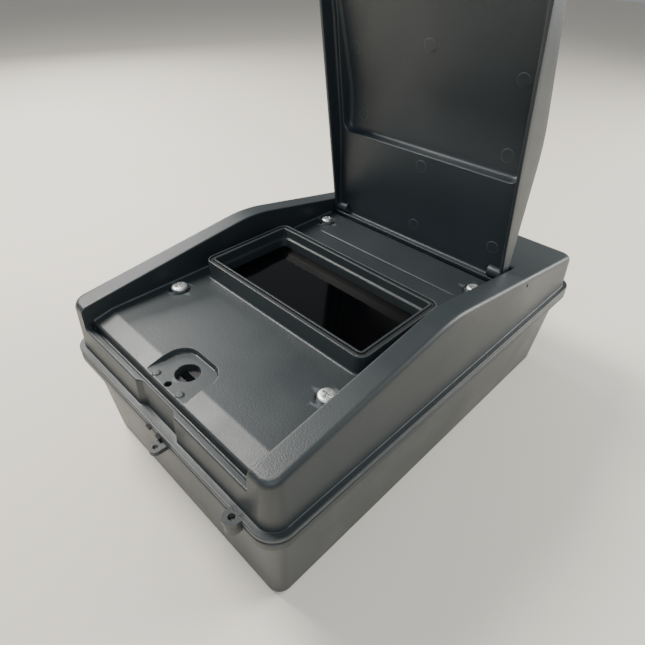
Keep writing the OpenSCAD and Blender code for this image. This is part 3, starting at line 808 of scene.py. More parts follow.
@dataclass
class CoverShell:
    """The front cover: cheeks, lip, drip groove, deck, hinge trench and rear deck in one moulding.

    The walls of the bay stand on grid columns that share a place, and the rest is one
    height map: the lower surface low(y) along the bay and the crest outside it.
    """

    house: Housing
    edge_r: float = 2.8
    lip_r: float = 0.9
    foot_r: float = 0.8
    brow_r: float = 0.9
    notch_w: float = 25.0
    notch_ramp: float = 3.0
    notch_depth: float = 1.9
    recess_w: float = 30.0
    recess_back: float = -96.0
    recess_r: float = 8.5
    lock_r: float = 5.7
    locator_r: float = 1.6
    rest_x: float = 9.4
    rest_d: float = 3.4
    rest_h: float = 0.5
    screw_x: float = 56.0
    front_screw_y: float = -73.8
    rear_screw_y: float = 39.0
    sink_r: float = 5.5
    sink_depth: float = 0.8
    step_line_y: float = 27.3
    step_line_half: float = 52.0
    collar_w: float = 116.0
    collar_l: float = 59.0
    collar_y: float = -25.8
    collar_h: float = 10.4
    collar_rim: float = 4.2
    collar_r: float = 5.2
    seal_w: float = 2.0
    seal_depth: float = 1.5
    well_step: float = 5.4
    pin_r: float = 1.05

    def bay_profile(self) -> np.ndarray:
        """The bay's floor line along y as (y, height), with its edges rounded."""
        h = self.house
        brow = float(h.crest(np.array(h.bay_back_y)))
        behind = h.bay_back_y + 4
        return filleted([
            (-h.half_l + 3.0, h.lip_h, 0), (h.groove_y, h.lip_h, 0.8), (h.groove_y, h.groove_floor, 0.5),
            (h.ramp_y, h.groove_floor, 0.5), (h.ramp_y, h.ramp_h, 1.3), (h.crease_y, h.deck_h, 6.0),
            (h.trench_y, h.deck_at(h.trench_y), 0.7), (h.trench_y, h.trench_h, 0.9),
            (h.bay_back_y, h.trench_h, 1.0), (h.bay_back_y, brow, 1.1), (behind, float(h.crest(np.array(behind))), 0),
        ])

    def rows(self) -> tuple[np.ndarray, np.ndarray]:
        """Row places and the bay floor's height at each."""
        h = self.house
        line = self.bay_profile()
        rounds = np.concatenate([quarter(self.edge_r), quarter(self.lip_r, 5)])
        front = np.unique(np.round(rounds, 4)) - h.half_l
        front = front[front < line[0, 0] - 0.05]
        keep_y, keep_z = [front], [np.full(len(front), h.lip_h)]
        step_line = self.step_line_y + np.linspace(-0.9, 0.9, 9)
        detail = np.concatenate([
            stations((h.ramp_y + 0.9, -93.0, 0.33)), stations((-57.6, -48.0, 1.0)), stations((-4.0, 6.0, 1.0)),
            stations((-80.5, -67.0, 0.9)), stations((32.5, 45.5, 0.9)), step_line])
        for (y0, z0), (y1, z1) in zip(line[:-1], line[1:]):
            marks = np.array([y0])
            if y1 - y0 > 3:
                extra = detail[(detail > y0 + 0.1) & (detail < y1 - 0.1)]
                marks = np.unique(np.round(np.concatenate([marks, stations((y0, y1, 3.0))[1:-1], extra]), 3))
                marks = marks[np.append(True, np.diff(marks) > 0.12)]
            share = (marks - y0) / (y1 - y0) if y1 - y0 > 1e-6 else np.zeros(len(marks))
            keep_y.append(marks)
            keep_z.append(z0 + share * (z1 - z0))
        back = h.half_l - quarter(self.edge_r)[::-1]
        rest = stations((line[-1, 0], back[0], 3.0))[:-1]
        y = np.concatenate(keep_y + [rest, back])
        z = np.concatenate(keep_z + [h.crest(rest), h.crest(back)])
        return spread(y, 0.03), z

    def columns(self) -> tuple[np.ndarray, np.ndarray, np.ndarray]:
        """Column places, and for each its share of the bay wall as (kind, amount).

        Kind 0 is the floor, 1 the foot round, 2 the wall, 3 the brow round and 4 the cheek.
        """
        h = self.house
        turn = np.linspace(0, math.pi / 2, 6)
        inner = stations(
            (0, 19.0, 0.33), (19.0, 48.5, 3.0), (48.5, 62.6, 0.9), (62.6, h.half_bay - self.foot_r, 0.9))[:-1]
        foot_x = h.half_bay - self.foot_r * (1 - np.sin(turn))
        foot_rise = self.foot_r * (1 - np.cos(turn))
        wall_t = np.linspace(0, 1, 8)[1:-1]
        brow_x = h.half_bay + self.brow_r * (1 - np.cos(turn))
        brow_fall = self.brow_r * (1 - np.sin(turn))
        start = h.half_w - h.corner_r
        cheek = stations((h.half_bay + self.brow_r + 0.5, start, 1.2), (start, h.half_w - self.edge_r, 0.9))[:-1]
        outside = np.append(cheek, h.half_w - quarter(self.edge_r)[::-1])
        stretches = (inner, foot_x, np.full(len(wall_t), h.half_bay), brow_x, outside)
        kind = np.concatenate([np.full(len(part), float(k)) for k, part in enumerate(stretches)])
        amount = np.concatenate([np.zeros(len(inner)), foot_rise, wall_t, brow_fall, np.zeros(len(outside))])
        x = spread(np.concatenate(stretches), 0.02)
        x *= 1 - (x[-1] - h.half_w) / x[-1]
        return (np.concatenate([-x[:0:-1], x]), *(np.concatenate([part[:0:-1], part]) for part in (kind, amount)))

    def features(self, x: np.ndarray, y: np.ndarray, z: np.ndarray) -> np.ndarray:
        """Lower the lock's recess, raise its two rests, and draw the deck's shallow step line.

        The recess wall is a smooth step of the signed distance to its outline, 0.7 mm wide.

        Args:
            x: Places across, in mm.
            y: Places along the length, in mm.
            z: Heights before it.

        Returns:
            Heights with the features.
        """
        h = self.house
        middle = (self.recess_back - 150) / 2
        recess = Outline(0, middle, self.recess_w / 2, self.recess_back - middle, self.recess_r)
        off, _ = recess.measure(np.stack([x, y], axis=-1))
        wall = smooth((0.35 - off) / 0.7)
        within = (y > h.ramp_y + 0.3) & (z > h.recess_h)
        z = np.where(within, z + (h.recess_h - z) * wall, z)
        for side in (-1, 1):
            away = np.hypot(x - side * self.rest_x, y - h.locator_y)
            z = np.where(within, z + self.rest_h * smooth((self.rest_d / 2 - away) / 0.5 + 0.5), z)
        line = np.exp(-(((y - self.step_line_y) / 0.5) ** 2)) * smooth((self.step_line_half - np.abs(x)) / 3)
        return z - 0.35 * line

    def surface(self) -> HeightGrid:
        """The cover's outside as a height map over the plan.

        The bay wall rises from the floor by its foot round, its wall and its brow round,
        all of them scaled down where the wall is lower than the rounds. The outer edge
        falls in a quarter round of the distance to the outline. The square corners of the
        grid are drawn in to round ones: a(1 - b^2/2)^(1/2) and b(1 - a^2/2)^(1/2).
        """
        h = self.house
        row_y, row_low = self.rows()
        col_x, kind, amount = self.columns()
        x, y = np.meshgrid(col_x, row_y)
        a = np.clip((np.abs(x) - (h.half_w - h.corner_r)) / h.corner_r, 0, 1)
        b = np.clip((np.abs(y) - (h.half_l - h.corner_r)) / h.corner_r, 0, 1)
        x = np.where(a > 0, np.sign(x) * (h.half_w - h.corner_r + h.corner_r * a * np.sqrt(1 - b * b / 2)), x)
        y = np.where(b > 0, np.sign(y) * (h.half_l - h.corner_r + h.corner_r * b * np.sqrt(1 - a * a / 2)), y)
        border = Outline(0, 0, h.half_w, h.half_l, h.corner_r)
        inside = np.maximum(-border.measure(np.stack([x, y], axis=-1))[0], 0)
        high = h.crest(y)
        low = np.broadcast_to(row_low[:, None], x.shape)
        front = y < 0
        low = np.where(row_y[:, None] < h.bay_back_y + 3, low, high)
        low = low - np.where(front, round_drop(inside, self.lip_r), round_drop(inside, self.edge_r))
        high = high - round_drop(inside, self.edge_r)
        gap = np.maximum(high - low, 0)
        scale = np.clip(gap / (self.foot_r + self.brow_r), 0, 1)
        rise = scale * np.where(kind == 1, amount, self.foot_r)
        z = np.where(kind == 0, low, low + rise)
        wall = low + scale * self.foot_r + (gap - scale * (self.foot_r + self.brow_r)) * amount
        z = np.where(kind == 2, wall, z)
        z = np.where(kind == 3, high - scale * amount, z)
        z = np.where(kind == 4, high, z)
        z = np.where(np.abs(x) < h.half_bay - 2, self.features(x, y, z), z)
        lean = h.draft * z * np.clip(1 - inside / 6, 0, 1)
        notch = self.notch(x) * np.clip(1 - inside / (h.lip_t + 0.2), 0, 1) * front
        _, way = border.measure(np.stack([x, y], axis=-1))
        return HeightGrid(x - way[..., 0] * lean, y - way[..., 1] * lean + notch, z)

    def notch(self, x: np.ndarray) -> np.ndarray:
        """Depth of the finger notch in the front wall at x: full in the middle, ramped at its ends."""
        share = (self.notch_w / 2 + self.notch_ramp - np.abs(x)) / self.notch_ramp
        return self.notch_depth * np.clip(share, 0, 1)

    def skirt(self, shell: Shell, ids: np.ndarray, grid: HeightGrid) -> None:
        """Drop the outer wall from the grid's border to the flange and close the flange's edge.

        The wall leans out by the draft. A small round meets the flange, whose edge is a
        quarter round above and a chamfer below.

        Args:
            shell: The shell that takes the points and faces.
            ids: The grid's vertex numbers.
            grid: The cover's height grid.
        """
        h = self.house
        border = grid_edge(ids)
        top = grid.points().reshape(-1, 3)[border - ids[0, 0]]
        _, way = Outline(0, 0, h.half_w, h.half_l, h.corner_r).measure(top[:, :2])
        foot = top[:, :2] + way * (h.draft * top[:, 2])[:, None]
        foot_r = 0.4
        rings = [border]
        for share in np.linspace(0, 1, 9)[1:]:
            height = top[:, 2] * (1 - share) + foot_r * share
            rings.append(shell.add(at(foot - way * (h.draft * height)[:, None], height)))
        self.pin_bores(shell, rings)
        rings = rings[-1:]
        for turn in np.linspace(0, math.pi / 2, 6)[1:]:
            out, height = foot_r * (1 - math.cos(turn)), foot_r * (1 - math.sin(turn))
            rings.append(shell.add(at(foot + way * out, height)))
        edge = 0.45
        turns = np.linspace(0, math.pi / 2, 5)
        lip = [(h.flange_out - edge * (1 - math.sin(t)), -edge * (1 - math.cos(t))) for t in turns]
        below = [(h.flange_out, 0.3 - h.flange_t), (h.flange_out - 0.3, -h.flange_t), (-1.0, -h.flange_t)]
        notch = self.notch(top[:, 0]) * (top[:, 1] < 0) * (np.abs(top[:, 0]) < 20)
        plain = foot - np.stack([0 * notch, notch], axis=-1)
        for out, height in [(h.flange_out - edge - 0.4, 0.0), *lip, *below]:
            rings.append(shell.add(at(plain + way * out, height)))
        shell.bands(rings, flip=True)

    def pin_bores(self, shell: Shell, rings: list[np.ndarray]) -> None:
        """Face the outer wall, leaving a bore for the hinge pin through each side.

        Faces near a bore are left out, and a flat filling joins the gap's edge to the
        bore's mouth, which runs in square to the wall.

        Args:
            shell: The shell that takes the points and faces.
            rings: Vertex numbers of the wall, ring by ring from its top.
        """
        h = self.house
        ids = np.stack([np.append(ring, ring[0]) for ring in rings])
        spots = np.concatenate(shell.blocks)[ids]
        wall = HeightGrid(spots[..., 1], spots[..., 2], spots[..., 0])
        gaps = []
        for side in (-1, 1):
            region = wall.inside(Outline.circle(h.hinge_y, h.hinge_h, 4.2)) & (wall.z[:-1, :-1] * side > 60)
            rows, cols = wall.rim_of(region)
            wall.keep &= ~region
            gaps.append((side, ids[rows, cols], float(wall.z[rows, cols].mean())))
        shell.skin(ids, wall.keep, flip=True)
        for side, gap, face in gaps:
            line = np.array([(self.pin_r + 0.12, 0.0), (self.pin_r, -0.15), (self.pin_r, -1.2)])
            line[:, 1] = face + side * line[:, 1]
            tube = turned(shell, line, (0, h.hinge_y, h.hinge_h), 32, "X")
            shell.bands(tube, flip=side < 0)
            shell.fill([gap, tube[0]], flip=side < 0, axis=0)

    def collar_profile(self) -> np.ndarray:
        """The display collar's section, from the deck outside over both lips down to the glass.

        Distances are out from the collar's outer face, negative towards the window.
        """
        lip = (self.collar_rim - self.seal_w) / 2
        top, rim, well = self.collar_h, self.collar_rim, self.collar_h - self.well_step
        return filleted([
            (1.6, 0.0, 0), (0.0, 0.0, 1.2), (0.0, top, 0.45), (-lip, top, 0.25),
            (-lip, top - self.seal_depth, 0), (-lip - self.seal_w, top - self.seal_depth, 0),
            (-lip - self.seal_w, top, 0.2), (-rim, top, 0.4), (-rim, well, 0.7), (-rim - 1.4, well, 0.5),
            (-rim - 1.4, -0.5, 0.2), (-rim - 1.4, -1.2, 0),
        ], 4)

    def collar(self, shell: Shell, hole: np.ndarray) -> None:
        """Carry the collar's section round its rectangle, square to the deck, and join it there.

        Args:
            shell: The shell that takes the points and faces.
            hole: Vertex numbers round the gap left for it.
        """
        rings = []
        slope = math.tan(math.radians(self.house.deck_slope))
        outline = Outline(0, self.collar_y, self.collar_w / 2, self.collar_l / 2, self.collar_r)
        for out, height in self.collar_profile():
            spots = outline.moved(out, 10, 3.0, 2.4)
            tilted = spots - np.array([0, height * slope])
            rings.append(shell.add(at(tilted, self.house.deck_at(spots[:, 1]) + height)))
        shell.bands(rings)
        shell.fill([hole, rings[0]])

    def well(self, shell: Shell, hole: np.ndarray, x: float, y: float, seat: float, bore: float) -> None:
        """Revolve a screw's counterbore, with its rounded mouth, and join it to the deck.

        Args:
            shell: The shell that takes the points and faces.
            hole: Vertex numbers round the gap left for it.
            x: Its place across.
            y: Its place along.
            seat: Height of the seat under the screw's head.
            bore: Radius of the hole for the shank.
        """
        loop, ways = Outline.circle(x, y, self.sink_r).loop(10, 50)
        step = bore - self.sink_r
        rings = []
        for out, drop in filleted([(1.2, 0, 0), (0, 0, 0.3), (0, -1, 0.2), (step, -1, 0), (step, -3, 0)], 4):
            spots = loop + ways * out
            top = self.house.deck_at(spots[:, 1])
            height = np.where(drop > -1, top + drop * (top - seat), seat + drop + 1)
            rings.append(shell.add(at(spots, height)))
        shell.bands(rings)
        shell.fill([hole, rings[0]])

    def bore(self, shell: Shell, hole: np.ndarray, y: float, steps: list[tuple[float, float]]) -> None:
        """Revolve a stepped hole in the lock's recess, with a small chamfer, and close its floor.

        Args:
            shell: The shell that takes it.
            hole: Numbers round the gap left for it.
            y: Its place along the middle.
            steps: Radius and depth at the end of each step.
        """
        radius = steps[0][0]
        profile = [(radius + 0.7, 0.0), (radius + 0.25, 0.0), (radius, -0.25)]
        for step, (radius, depth) in enumerate(steps):
            profile += [(radius, -steps[step - 1][1])] if step else []
            profile.append((radius, -depth))
        rings = turned(shell, np.array(profile), (0, y, self.house.recess_h), 40)
        shell.bands(rings)
        shell.fill([hole, rings[0]])
        shell.cap(rings[-1])

    def build(self, finishes: Finishes) -> list[bpy.types.Object]:
        """Make the cover as one piece.

        Args:
            finishes: Makes and hands out the finishes.

        Returns:
            The pieces made.
        """
        h = self.house
        shell = Shell()
        grid = self.surface()
        ids = shell.add(grid.points())
        room = Outline(0, self.collar_y, self.collar_w / 2 + 3, self.collar_l / 2 + 3, 3)
        collar = grid.cut_out(ids, room)
        wells = []
        for x in (-self.screw_x, self.screw_x):
            for y, bore in ((self.front_screw_y, 2.8), (self.rear_screw_y, 2.3)):
                hole = grid.cut_out(ids, Outline.circle(x, y, self.sink_r + 2.2))
                wells.append((hole, x, y, h.deck_at(y) - self.sink_depth, bore))
        lock = grid.cut_out(ids, Outline.circle(0, h.lock_y, self.lock_r + 1.2))
        locator = grid.cut_out(ids, Outline.circle(0, h.locator_y, self.locator_r + 1.2))
        shell.skin(ids, grid.keep)
        self.skirt(shell, ids, grid)
        self.collar(shell, collar)
        for hole, x, y, seat, bore in wells:
            self.well(shell, hole, x, y, seat, bore)
        self.bore(shell, lock, h.lock_y, [(self.lock_r, 4.4), (4.7, 7.2)])
        self.bore(shell, locator, h.locator_y, [(self.locator_r, 3.2)])
        piece = shell.finish("cover_shell", h.lift())
        finishes.give(piece, Finish.DECK)
        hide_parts("front_cover")
        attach(piece, "housing")
        return [piece]


# ---------- base tray ----------


@dataclass
class BaseTray:
    """The deep back box: a drafted tub with a rounded foot, a flared band at its mouth and a flat back."""

    house: Housing
    height: float = 59.0
    band_h: float = 4.4
    band_step: float = 2.6
    inset: float = 5.5
    wall: float = 3.0
    foot_r: float = 5.0
    mount_x: float = 96.0
    mount_y: float = 196.0
    mount_d: float = 5.5
    entry: tuple[float, float] = (-8.0, 100.0)
    entry_d: float = 20.0

    def profile(self) -> np.ndarray:
        """Section up the outside, over the mouth and down the inside, as (inset, height)."""
        brim = self.height - self.band_h
        out = -self.house.flange_out
        return filleted([
            (self.inset + 2.4, 0.0, 0), (self.inset + 0.2, 0.0, 1.6), (self.inset, 2.4, 0.6),
            (self.band_step / 2, brim - self.band_step, 1.4), (out + 0.2, brim, 0.5), (out, brim + 0.3, 0.2),
            (out, self.height, 0.6), (self.wall, self.height, 0.4),
            (self.wall + self.band_step / 2, brim - self.band_step, 1.0), (self.inset + self.wall, self.wall, 2.0),
            (self.inset + self.wall + 3, self.wall, 0),
        ], 4)

    def ring(self, shell: Shell, inset: float, height: float) -> np.ndarray:
        """One ring of the tub at an inset from the outline.

        Args:
            shell: The shell that takes the points and faces.
            inset: Distance in from the outline.
            height: Its height.

        Returns:
            Vertex numbers.
        """
        h = self.house
        radius = h.corner_r - inset / 4 if inset > 0 else h.corner_r - inset
        loop, _ = Outline(0, 0, h.half_w - inset, h.half_l - inset, radius).loop(8, 400)
        return shell.add(at(loop, height))

    def build(self, finishes: Finishes) -> list[bpy.types.Object]:
        """Make the tub, with its back holes lined.

        Args:
            finishes: Makes and hands out the finishes.

        Returns:
            The pieces made.
        """
        shell = Shell()
        rings = [self.ring(shell, inset, height) for inset, height in self.profile()]
        shell.bands(rings)
        half_x, half_y = self.mount_x / 2, self.mount_y / 2
        holes = [(x, y, self.mount_d / 2) for x in (-half_x, half_x) for y in (-half_y, half_y)]
        holes.append((*self.entry, self.entry_d / 2))
        below, above = [], []
        for x, y, radius in holes:
            line = [(0.8, 0.0), (0.3, 0.0), (0.0, 0.3), (0.0, self.wall), (0.8, self.wall)]
            tube = turned(shell, np.array(line) + np.array([radius, 0]), (x, y, 0), 40)
            shell.bands(tube, flip=True)
            below.append(tube[0])
            above.append(tube[-1])
        shell.fill([rings[0], *below], flip=True)
        shell.fill([rings[-1], *above])
        piece = shell.finish("base_tray")
        finishes.give(piece, Finish.HOUSING)
        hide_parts("base_box")
        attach(piece, "housing")
        return [piece]


# ---------- lid ----------


@dataclass
class FlipLid:
    """The hinged lid, made in its closed place and turned open about the hinge.

    An outer and an inner height map with the same grid lines share a rim: the outside
    follows the cheeks' crest, the inside has a shallow floor by the hinge and a deep pocket.
    """

    house: Housing
    half_w: float = 63.6
    front: float = -119.99
    back: float = 63.6
    drop: float = 0.2
    skin: float = 3.4
    skirt: float = 1.8
    rim_clear: float = 0.5
    step_y: float = 5.9
    pocket_half: float = 59.0
    pocket_r: float = 5.0
    floor_front: float = 8.6
    floor_back: float = 3.4
    edge_r: float = 1.4
    plan_r: float = 1.8
    knuckle_r: float = 3.5
    knuckle_l: float = 10.0
    catch_x: float = 15.0
    catch: tuple[float, float, float] = (8.0, 0.8, 4.0)
    boss_r: float = 8.2
    bore_r: float = 5.16
    boss_foot: float = 19.6
    hidden_z: float = 23.6
    peg_r: float = 1.1
    gate_r: float = 3.6
    ledge: float = 4.8

    def rim(self, y: np.ndarray) -> np.ndarray:
        """Height of the rim over the lip, the ramp and the deck, with its running gap.

        Args:
            y: Places along the length, in mm.

        Returns:
            Heights over the flange.
        """
        h = self.house
        foot = h.ramp_y - 0.9
        line_y = [self.front, foot, foot + 0.1, h.crease_y, self.back]
        line_z = [h.lip_h, h.lip_h, h.ramp_h, h.deck_h, float(h.deck_at(self.back))]
        return np.interp(y, line_y, line_z) + self.rim_clear

    def roof(self, y: np.ndarray) -> np.ndarray:
        """Outside height: the crest less its drop, with the heel rolled over behind the hinge."""
        h = self.house
        heel = np.clip((y - h.hinge_y - 2.0) / (self.back - h.hinge_y - 2.0), 0, 1)
        return h.crest(y) - self.drop - 0.9 * heel**2

    def floor(self, x: np.ndarray, y: np.ndarray) -> np.ndarray:
        """Inside height: the shallow floor, and the deep pocket inside its outline.

        The pocket's share of the height follows the distance inside the outline: a tight
        edge, a leaning wall and a wide round at its foot.

        Args:
            x: Places across, in mm.
            y: Places along the length, in mm.

        Returns:
            Heights over the flange.
        """
        h = self.house
        start = self.front + self.skirt
        front_z, back_z = self.rim_clear + self.floor_front, self.rim_clear + self.floor_back
        line_y = [start, -60.0, self.step_y, self.back - self.skirt - 1]
        line_z = [
            float(self.roof(np.array(start))) - self.skin, h.deck_at(-60.0) + front_z,
            h.deck_at(self.step_y) + front_z, h.deck_at(self.back) + back_z]
        shallow = np.interp(y, line_y, line_z)
        deep = h.crest(y) - self.drop - self.skin
        middle = (self.step_y + start - 40) / 2
        pocket = Outline(0, middle, self.pocket_half, self.step_y - middle, self.pocket_r)
        off, _ = pocket.measure(np.stack([x, y], axis=-1))
        wall = filleted([(-1.5, 0, 0), (0, 0, 0.45), (0.9, self.ledge, 2.0), (5.0, self.ledge, 0)], 8)
        share = np.interp(-off, wall[:, 0], wall[:, 1] / self.ledge)
        return shallow + (deep - shallow) * share

    def lines(self) -> tuple[np.ndarray, np.ndarray]:
        """Where the grid lines lie along width and length, from 0 to 1, crowded at edges and steps."""
        half, start, end = self.half_w - self.skirt, self.front + self.skirt, self.back - self.skirt - 1
        near = quarter(self.edge_r, 6)
        x = stations((near[-1], 1.4, 0.4), (1.4, 6.6, 0.22), (6.6, 10, 0.8), (10, half, 4.0))
        x = np.append(near, x[1:])
        x = np.concatenate([x[:-1] - half, [0.0], half - x[:-1][::-1]])
        y = stations(
            (start + 0.9, -100, 1.2), (-100, -4, 3.0), (-4, 2.0, 0.5), (2.0, 6.9, 0.22), (6.9, 20, 2),
            (20, end - 3, 3.0), (end - 3, end - 1.4, 0.4))
        y = np.concatenate([start + quarter(0.9, 6), y[1:], end - near[::-1][1:]])
        x, y = spread(x, 0.02), spread(np.sort(y), 0.02)
        return (x - x[0]) / (x[-1] - x[0]), (y - y[0]) / (y[-1] - y[0])

    def drawn(self, shares: tuple[np.ndarray, np.ndarray], border: Outline) -> tuple[np.ndarray, ...]:
        """Grid points inside a round-cornered border, and each one's distance inside it.

        Args:
            shares: Places of the grid lines along width and length.
            border: The outline.

        Returns:
            Places across and along, and distances inside.
        """
        r = border.radius
        x, y = np.meshgrid((shares[0] * 2 - 1) * border.half_x, (shares[1] * 2 - 1) * border.half_y)
        a = np.clip((np.abs(x) - border.half_x + r) / r, 0, 1)
        b = np.clip((np.abs(y) - border.half_y + r) / r, 0, 1)
        x = np.where((a > 0) & (b > 0), np.sign(x) * (border.half_x - r + r * a * np.sqrt(1 - b * b / 2)), x)
        y = np.where((a > 0) & (b > 0), np.sign(y) * (border.half_y - r + r * b * np.sqrt(1 - a * a / 2)), y)
        x, y = x + border.centre_x, y + border.centre_y
        return x, y, np.maximum(-border.measure(np.stack([x, y], axis=-1))[0], 0)

    def borders(self) -> tuple[Outline, Outline]:
        """Plan outlines of the outside and of the inside."""
        start, end = self.front + self.skirt, self.back - self.skirt - 1
        middle, half_l = (self.front + self.back) / 2, (self.back - self.front) / 2
        outer = Outline(0, middle, self.half_w, half_l, self.plan_r)
        inner = Outline(0, (start + end) / 2, self.half_w - self.skirt, (end - start) / 2, self.plan_r)
        return outer, inner

    def body(self, shell: Shell) -> None:
        """Join outside, walls, rim and inside into one closed skin with the lock's bore through it.

        Args:
            shell: The shell that takes the points and faces.
        """
        h = self.house
        shares = self.lines()
        outer, inner = self.borders()
        x, y, inside = self.drawn(shares, outer)
        top = HeightGrid(x, y, self.roof(y) - round_drop(inside, self.edge_r))
        top_ids = shell.add(top.points())
        hole = top.cut_out(top_ids, Outline.circle(0, h.lock_y, self.bore_r + 4.2))
        shell.skin(top_ids, top.keep)
        u, v, within = self.drawn(shares, inner)
        low = np.maximum(self.floor(u, v) - round_drop(within, 1.2), self.rim(v) + 0.3)
        low_ids = shell.add(np.stack([u, v, low], axis=-1))
        shell.skin(low_ids, flip=True)
        outer_edge, inner_edge = grid_edge(top_ids), grid_edge(low_ids)
        points = np.concatenate(shell.blocks)
        out, into = points[outer_edge], points[inner_edge]
        rim_out, rim_in = self.rim(out[:, 1]), self.rim(into[:, 1])
        _, way_out = outer.measure(out[:, :2])
        _, way_in = inner.measure(into[:, :2])
        highest = into[:, 2] - 0.05
        round_r = 0.4
        rings = [outer_edge]
        for share in (0.25, 0.5, 0.75):
            rings.append(shell.add(at(out[:, :2], out[:, 2] + (rim_out + round_r - out[:, 2]) * share)))
        for turn in np.linspace(0, math.pi / 2, 5):
            inwards, up = round_r * (1 - math.cos(turn)), round_r * (1 - math.sin(turn))
            rings.append(shell.add(at(out[:, :2] - way_out * inwards, rim_out + up)))
        for turn in np.linspace(0, math.pi / 2, 5):
            outwards, up = round_r * (1 - math.sin(turn)), round_r * (1 - math.cos(turn))
            rings.append(shell.add(at(into[:, :2] + way_in * outwards, np.minimum(rim_in + up, highest))))
        foot = np.minimum(rim_in + round_r, highest)
        for share in (0.33, 0.66):
            rings.append(shell.add(at(into[:, :2], foot + (into[:, 2] - foot) * share)))
        rings.append(inner_edge)
        shell.bands(rings, flip=True)
        self.lock_boss(shell, hole)

    def lock_boss(self, shell: Shell, hole: np.ndarray) -> None:
        """Line the barrel's bore from the outside to the boss's foot, and turn the boss back up to the floor.

        Args:
            shell: The shell that takes the points and faces.
            hole: Vertex numbers round the gap left for it.
        """
        y0 = self.house.lock_y
        rings = []
        for out, below in ((1.0, 0.0), (0.35, 0.0), (0.1, 0.1), (0.0, 0.4)):
            spot = all_round(56) * (self.bore_r + out) + np.array([0, y0])
            rings.append(shell.add(at(spot, self.roof(spot[:, 1]) - below)))
        foot = self.boss_foot
        line = filleted([
            (self.bore_r, foot + 1, 0), (self.bore_r, foot, 0.3), (self.boss_r, foot, 0.6),
            (self.boss_r, self.hidden_z, 0)], 4)
        rings += turned(shell, line, (0, y0, 0), 56)
        shell.bands(rings)
        shell.fill([hole, rings[0]])
        shell.cap(rings[-1])

    def marks(self) -> list[tuple[float, float]]:
        """Places of the mould's ejector pins: a few down the middle, the rest in pairs near the sides."""
        pairs = ((48.0, -4.5), (51.0, -42.0), (44.0, -90.0))
        places = [(side * x, y) for x, y in pairs for side in (-1, 1)]
        return [(1.0, 12.5), (0.0, 50.0), (53.0, 44.0), (0.0, -50.0), *places]

    def fittings(self, shell: Shell) -> None:
        """Add the hinge knuckles, the locating peg, the rear catches and the ejector marks.

        Args:
            shell: The shell that takes the points and faces.
        """
        h = self.house
        start, end = self.half_w - self.knuckle_l, self.half_w - 0.5
        wide, thick, tall = self.catch
        rim = float(self.rim(np.array(self.back)))
        for side in (-1, 1):
            r = self.knuckle_r
            line = filleted([(0.01, start, 0), (r, start, 0.5), (r, end, 0), (0.01, end, 0)], 4)
            line[:, 1] *= side
            shell.bands(turned(shell, line, (0, h.hinge_y, h.hinge_h), 40, "X"), flip=side > 0)
            tab = Outline(side * self.catch_x, self.back + thick / 2 - 0.4, wide / 2, thick / 2 + 0.4, 0.5)
            slab(shell, tab, rim, rim + tall, 0.3)
        tip, root = h.recess_h - 3, self.hidden_z + 0.2
        peg = filleted([(0.01, tip, 0), (self.peg_r, tip, 0.4), (self.peg_r, root, 0), (0.01, root, 0)], 4)
        shell.bands(turned(shell, peg, (0, h.locator_y, 0), 24))
        for place in self.marks():
            rings = []
            for inwards, proud in ((0.0, -0.3), (0.0, 0.05), (0.12, 0.15), (0.8, 0.15)):
                spot = all_round(32) * (self.gate_r - inwards) + np.array(place)
                rings.append(shell.add(at(spot, self.floor(spot[:, 0], spot[:, 1]) - proud)))
            shell.bands(rings, flip=True)
            shell.cap(rings[-1], flip=True)
            shell.cap(rings[0])

    def build(self, finishes: Finishes) -> list[bpy.types.Object]:
        """Make the lid as one piece.

        Args:
            finishes: Makes and hands out the finishes.

        Returns:
            The pieces made.
        """
        shell = Shell()
        self.body(shell)
        self.fittings(shell)
        piece = shell.finish("flip_lid", self.house.swing())
        finishes.give(piece, Finish.LID)
        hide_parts("lid")
        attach(piece, "lid")
        return [piece]


# ---------- display and fasteners ----------


@dataclass
class Display:
    """The window: black-printed glass below the collar, and the rubber seal laid in the collar's groove."""

    house: Housing
    cover: CoverShell
    glass: tuple[float, float, float] = (109.0, 56.0, 3.0)
    glass_r: float = 1.8
    seat: float = -0.4
    seal_proud: float = -0.7

    def tilt(self) -> Matrix:
        """Lay a flat piece on the sloping deck at the collar's middle."""
        y = self.cover.collar_y
        place = Matrix.Translation((0, y, float(self.house.deck_at(y))))
        return self.house.lift() @ place @ Matrix.Rotation(math.radians(self.house.deck_slope), 4, "X")

    def build(self, finishes: Finishes) -> list[bpy.types.Object]:
        """Make the glass and the seal.

        Args:
            finishes: Makes and hands out the finishes.

        Returns:
            The pieces made.
        """
        width, length, thick = self.glass
        pane = Shell()
        slab(pane, Outline(0, 0, width / 2, length / 2, self.glass_r), self.seat - thick, self.seat, 0.3)
        glass = pane.finish("window_glass", self.tilt())
        finishes.give(glass, Finish.GLASS)
        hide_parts("display_glass")
        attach(glass, "housing")
        c = self.cover
        lip = (c.collar_rim - c.seal_w) / 2
        cord = Shell()
        low, high, far = c.collar_h - c.seal_depth, c.collar_h + self.seal_proud, -lip - c.seal_w
        outline = Outline(0, 0, c.collar_w / 2, c.collar_l / 2, c.collar_r)
        line = filleted([(-lip, low, 0), (-lip, high, 0.7), (far, high, 0.7), (far, low, 0)], 6)
        rings = [cord.add(at(outline.moved(out, 10, 3.0), height)) for out, height in line]
        cord.bands([*rings, rings[0]])
        seal = cord.finish("window_seal_cord", self.tilt())
        finishes.give(seal, Finish.RUBBER)
        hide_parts("window_seal")
        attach(seal, "housing")
        return [glass, seal]


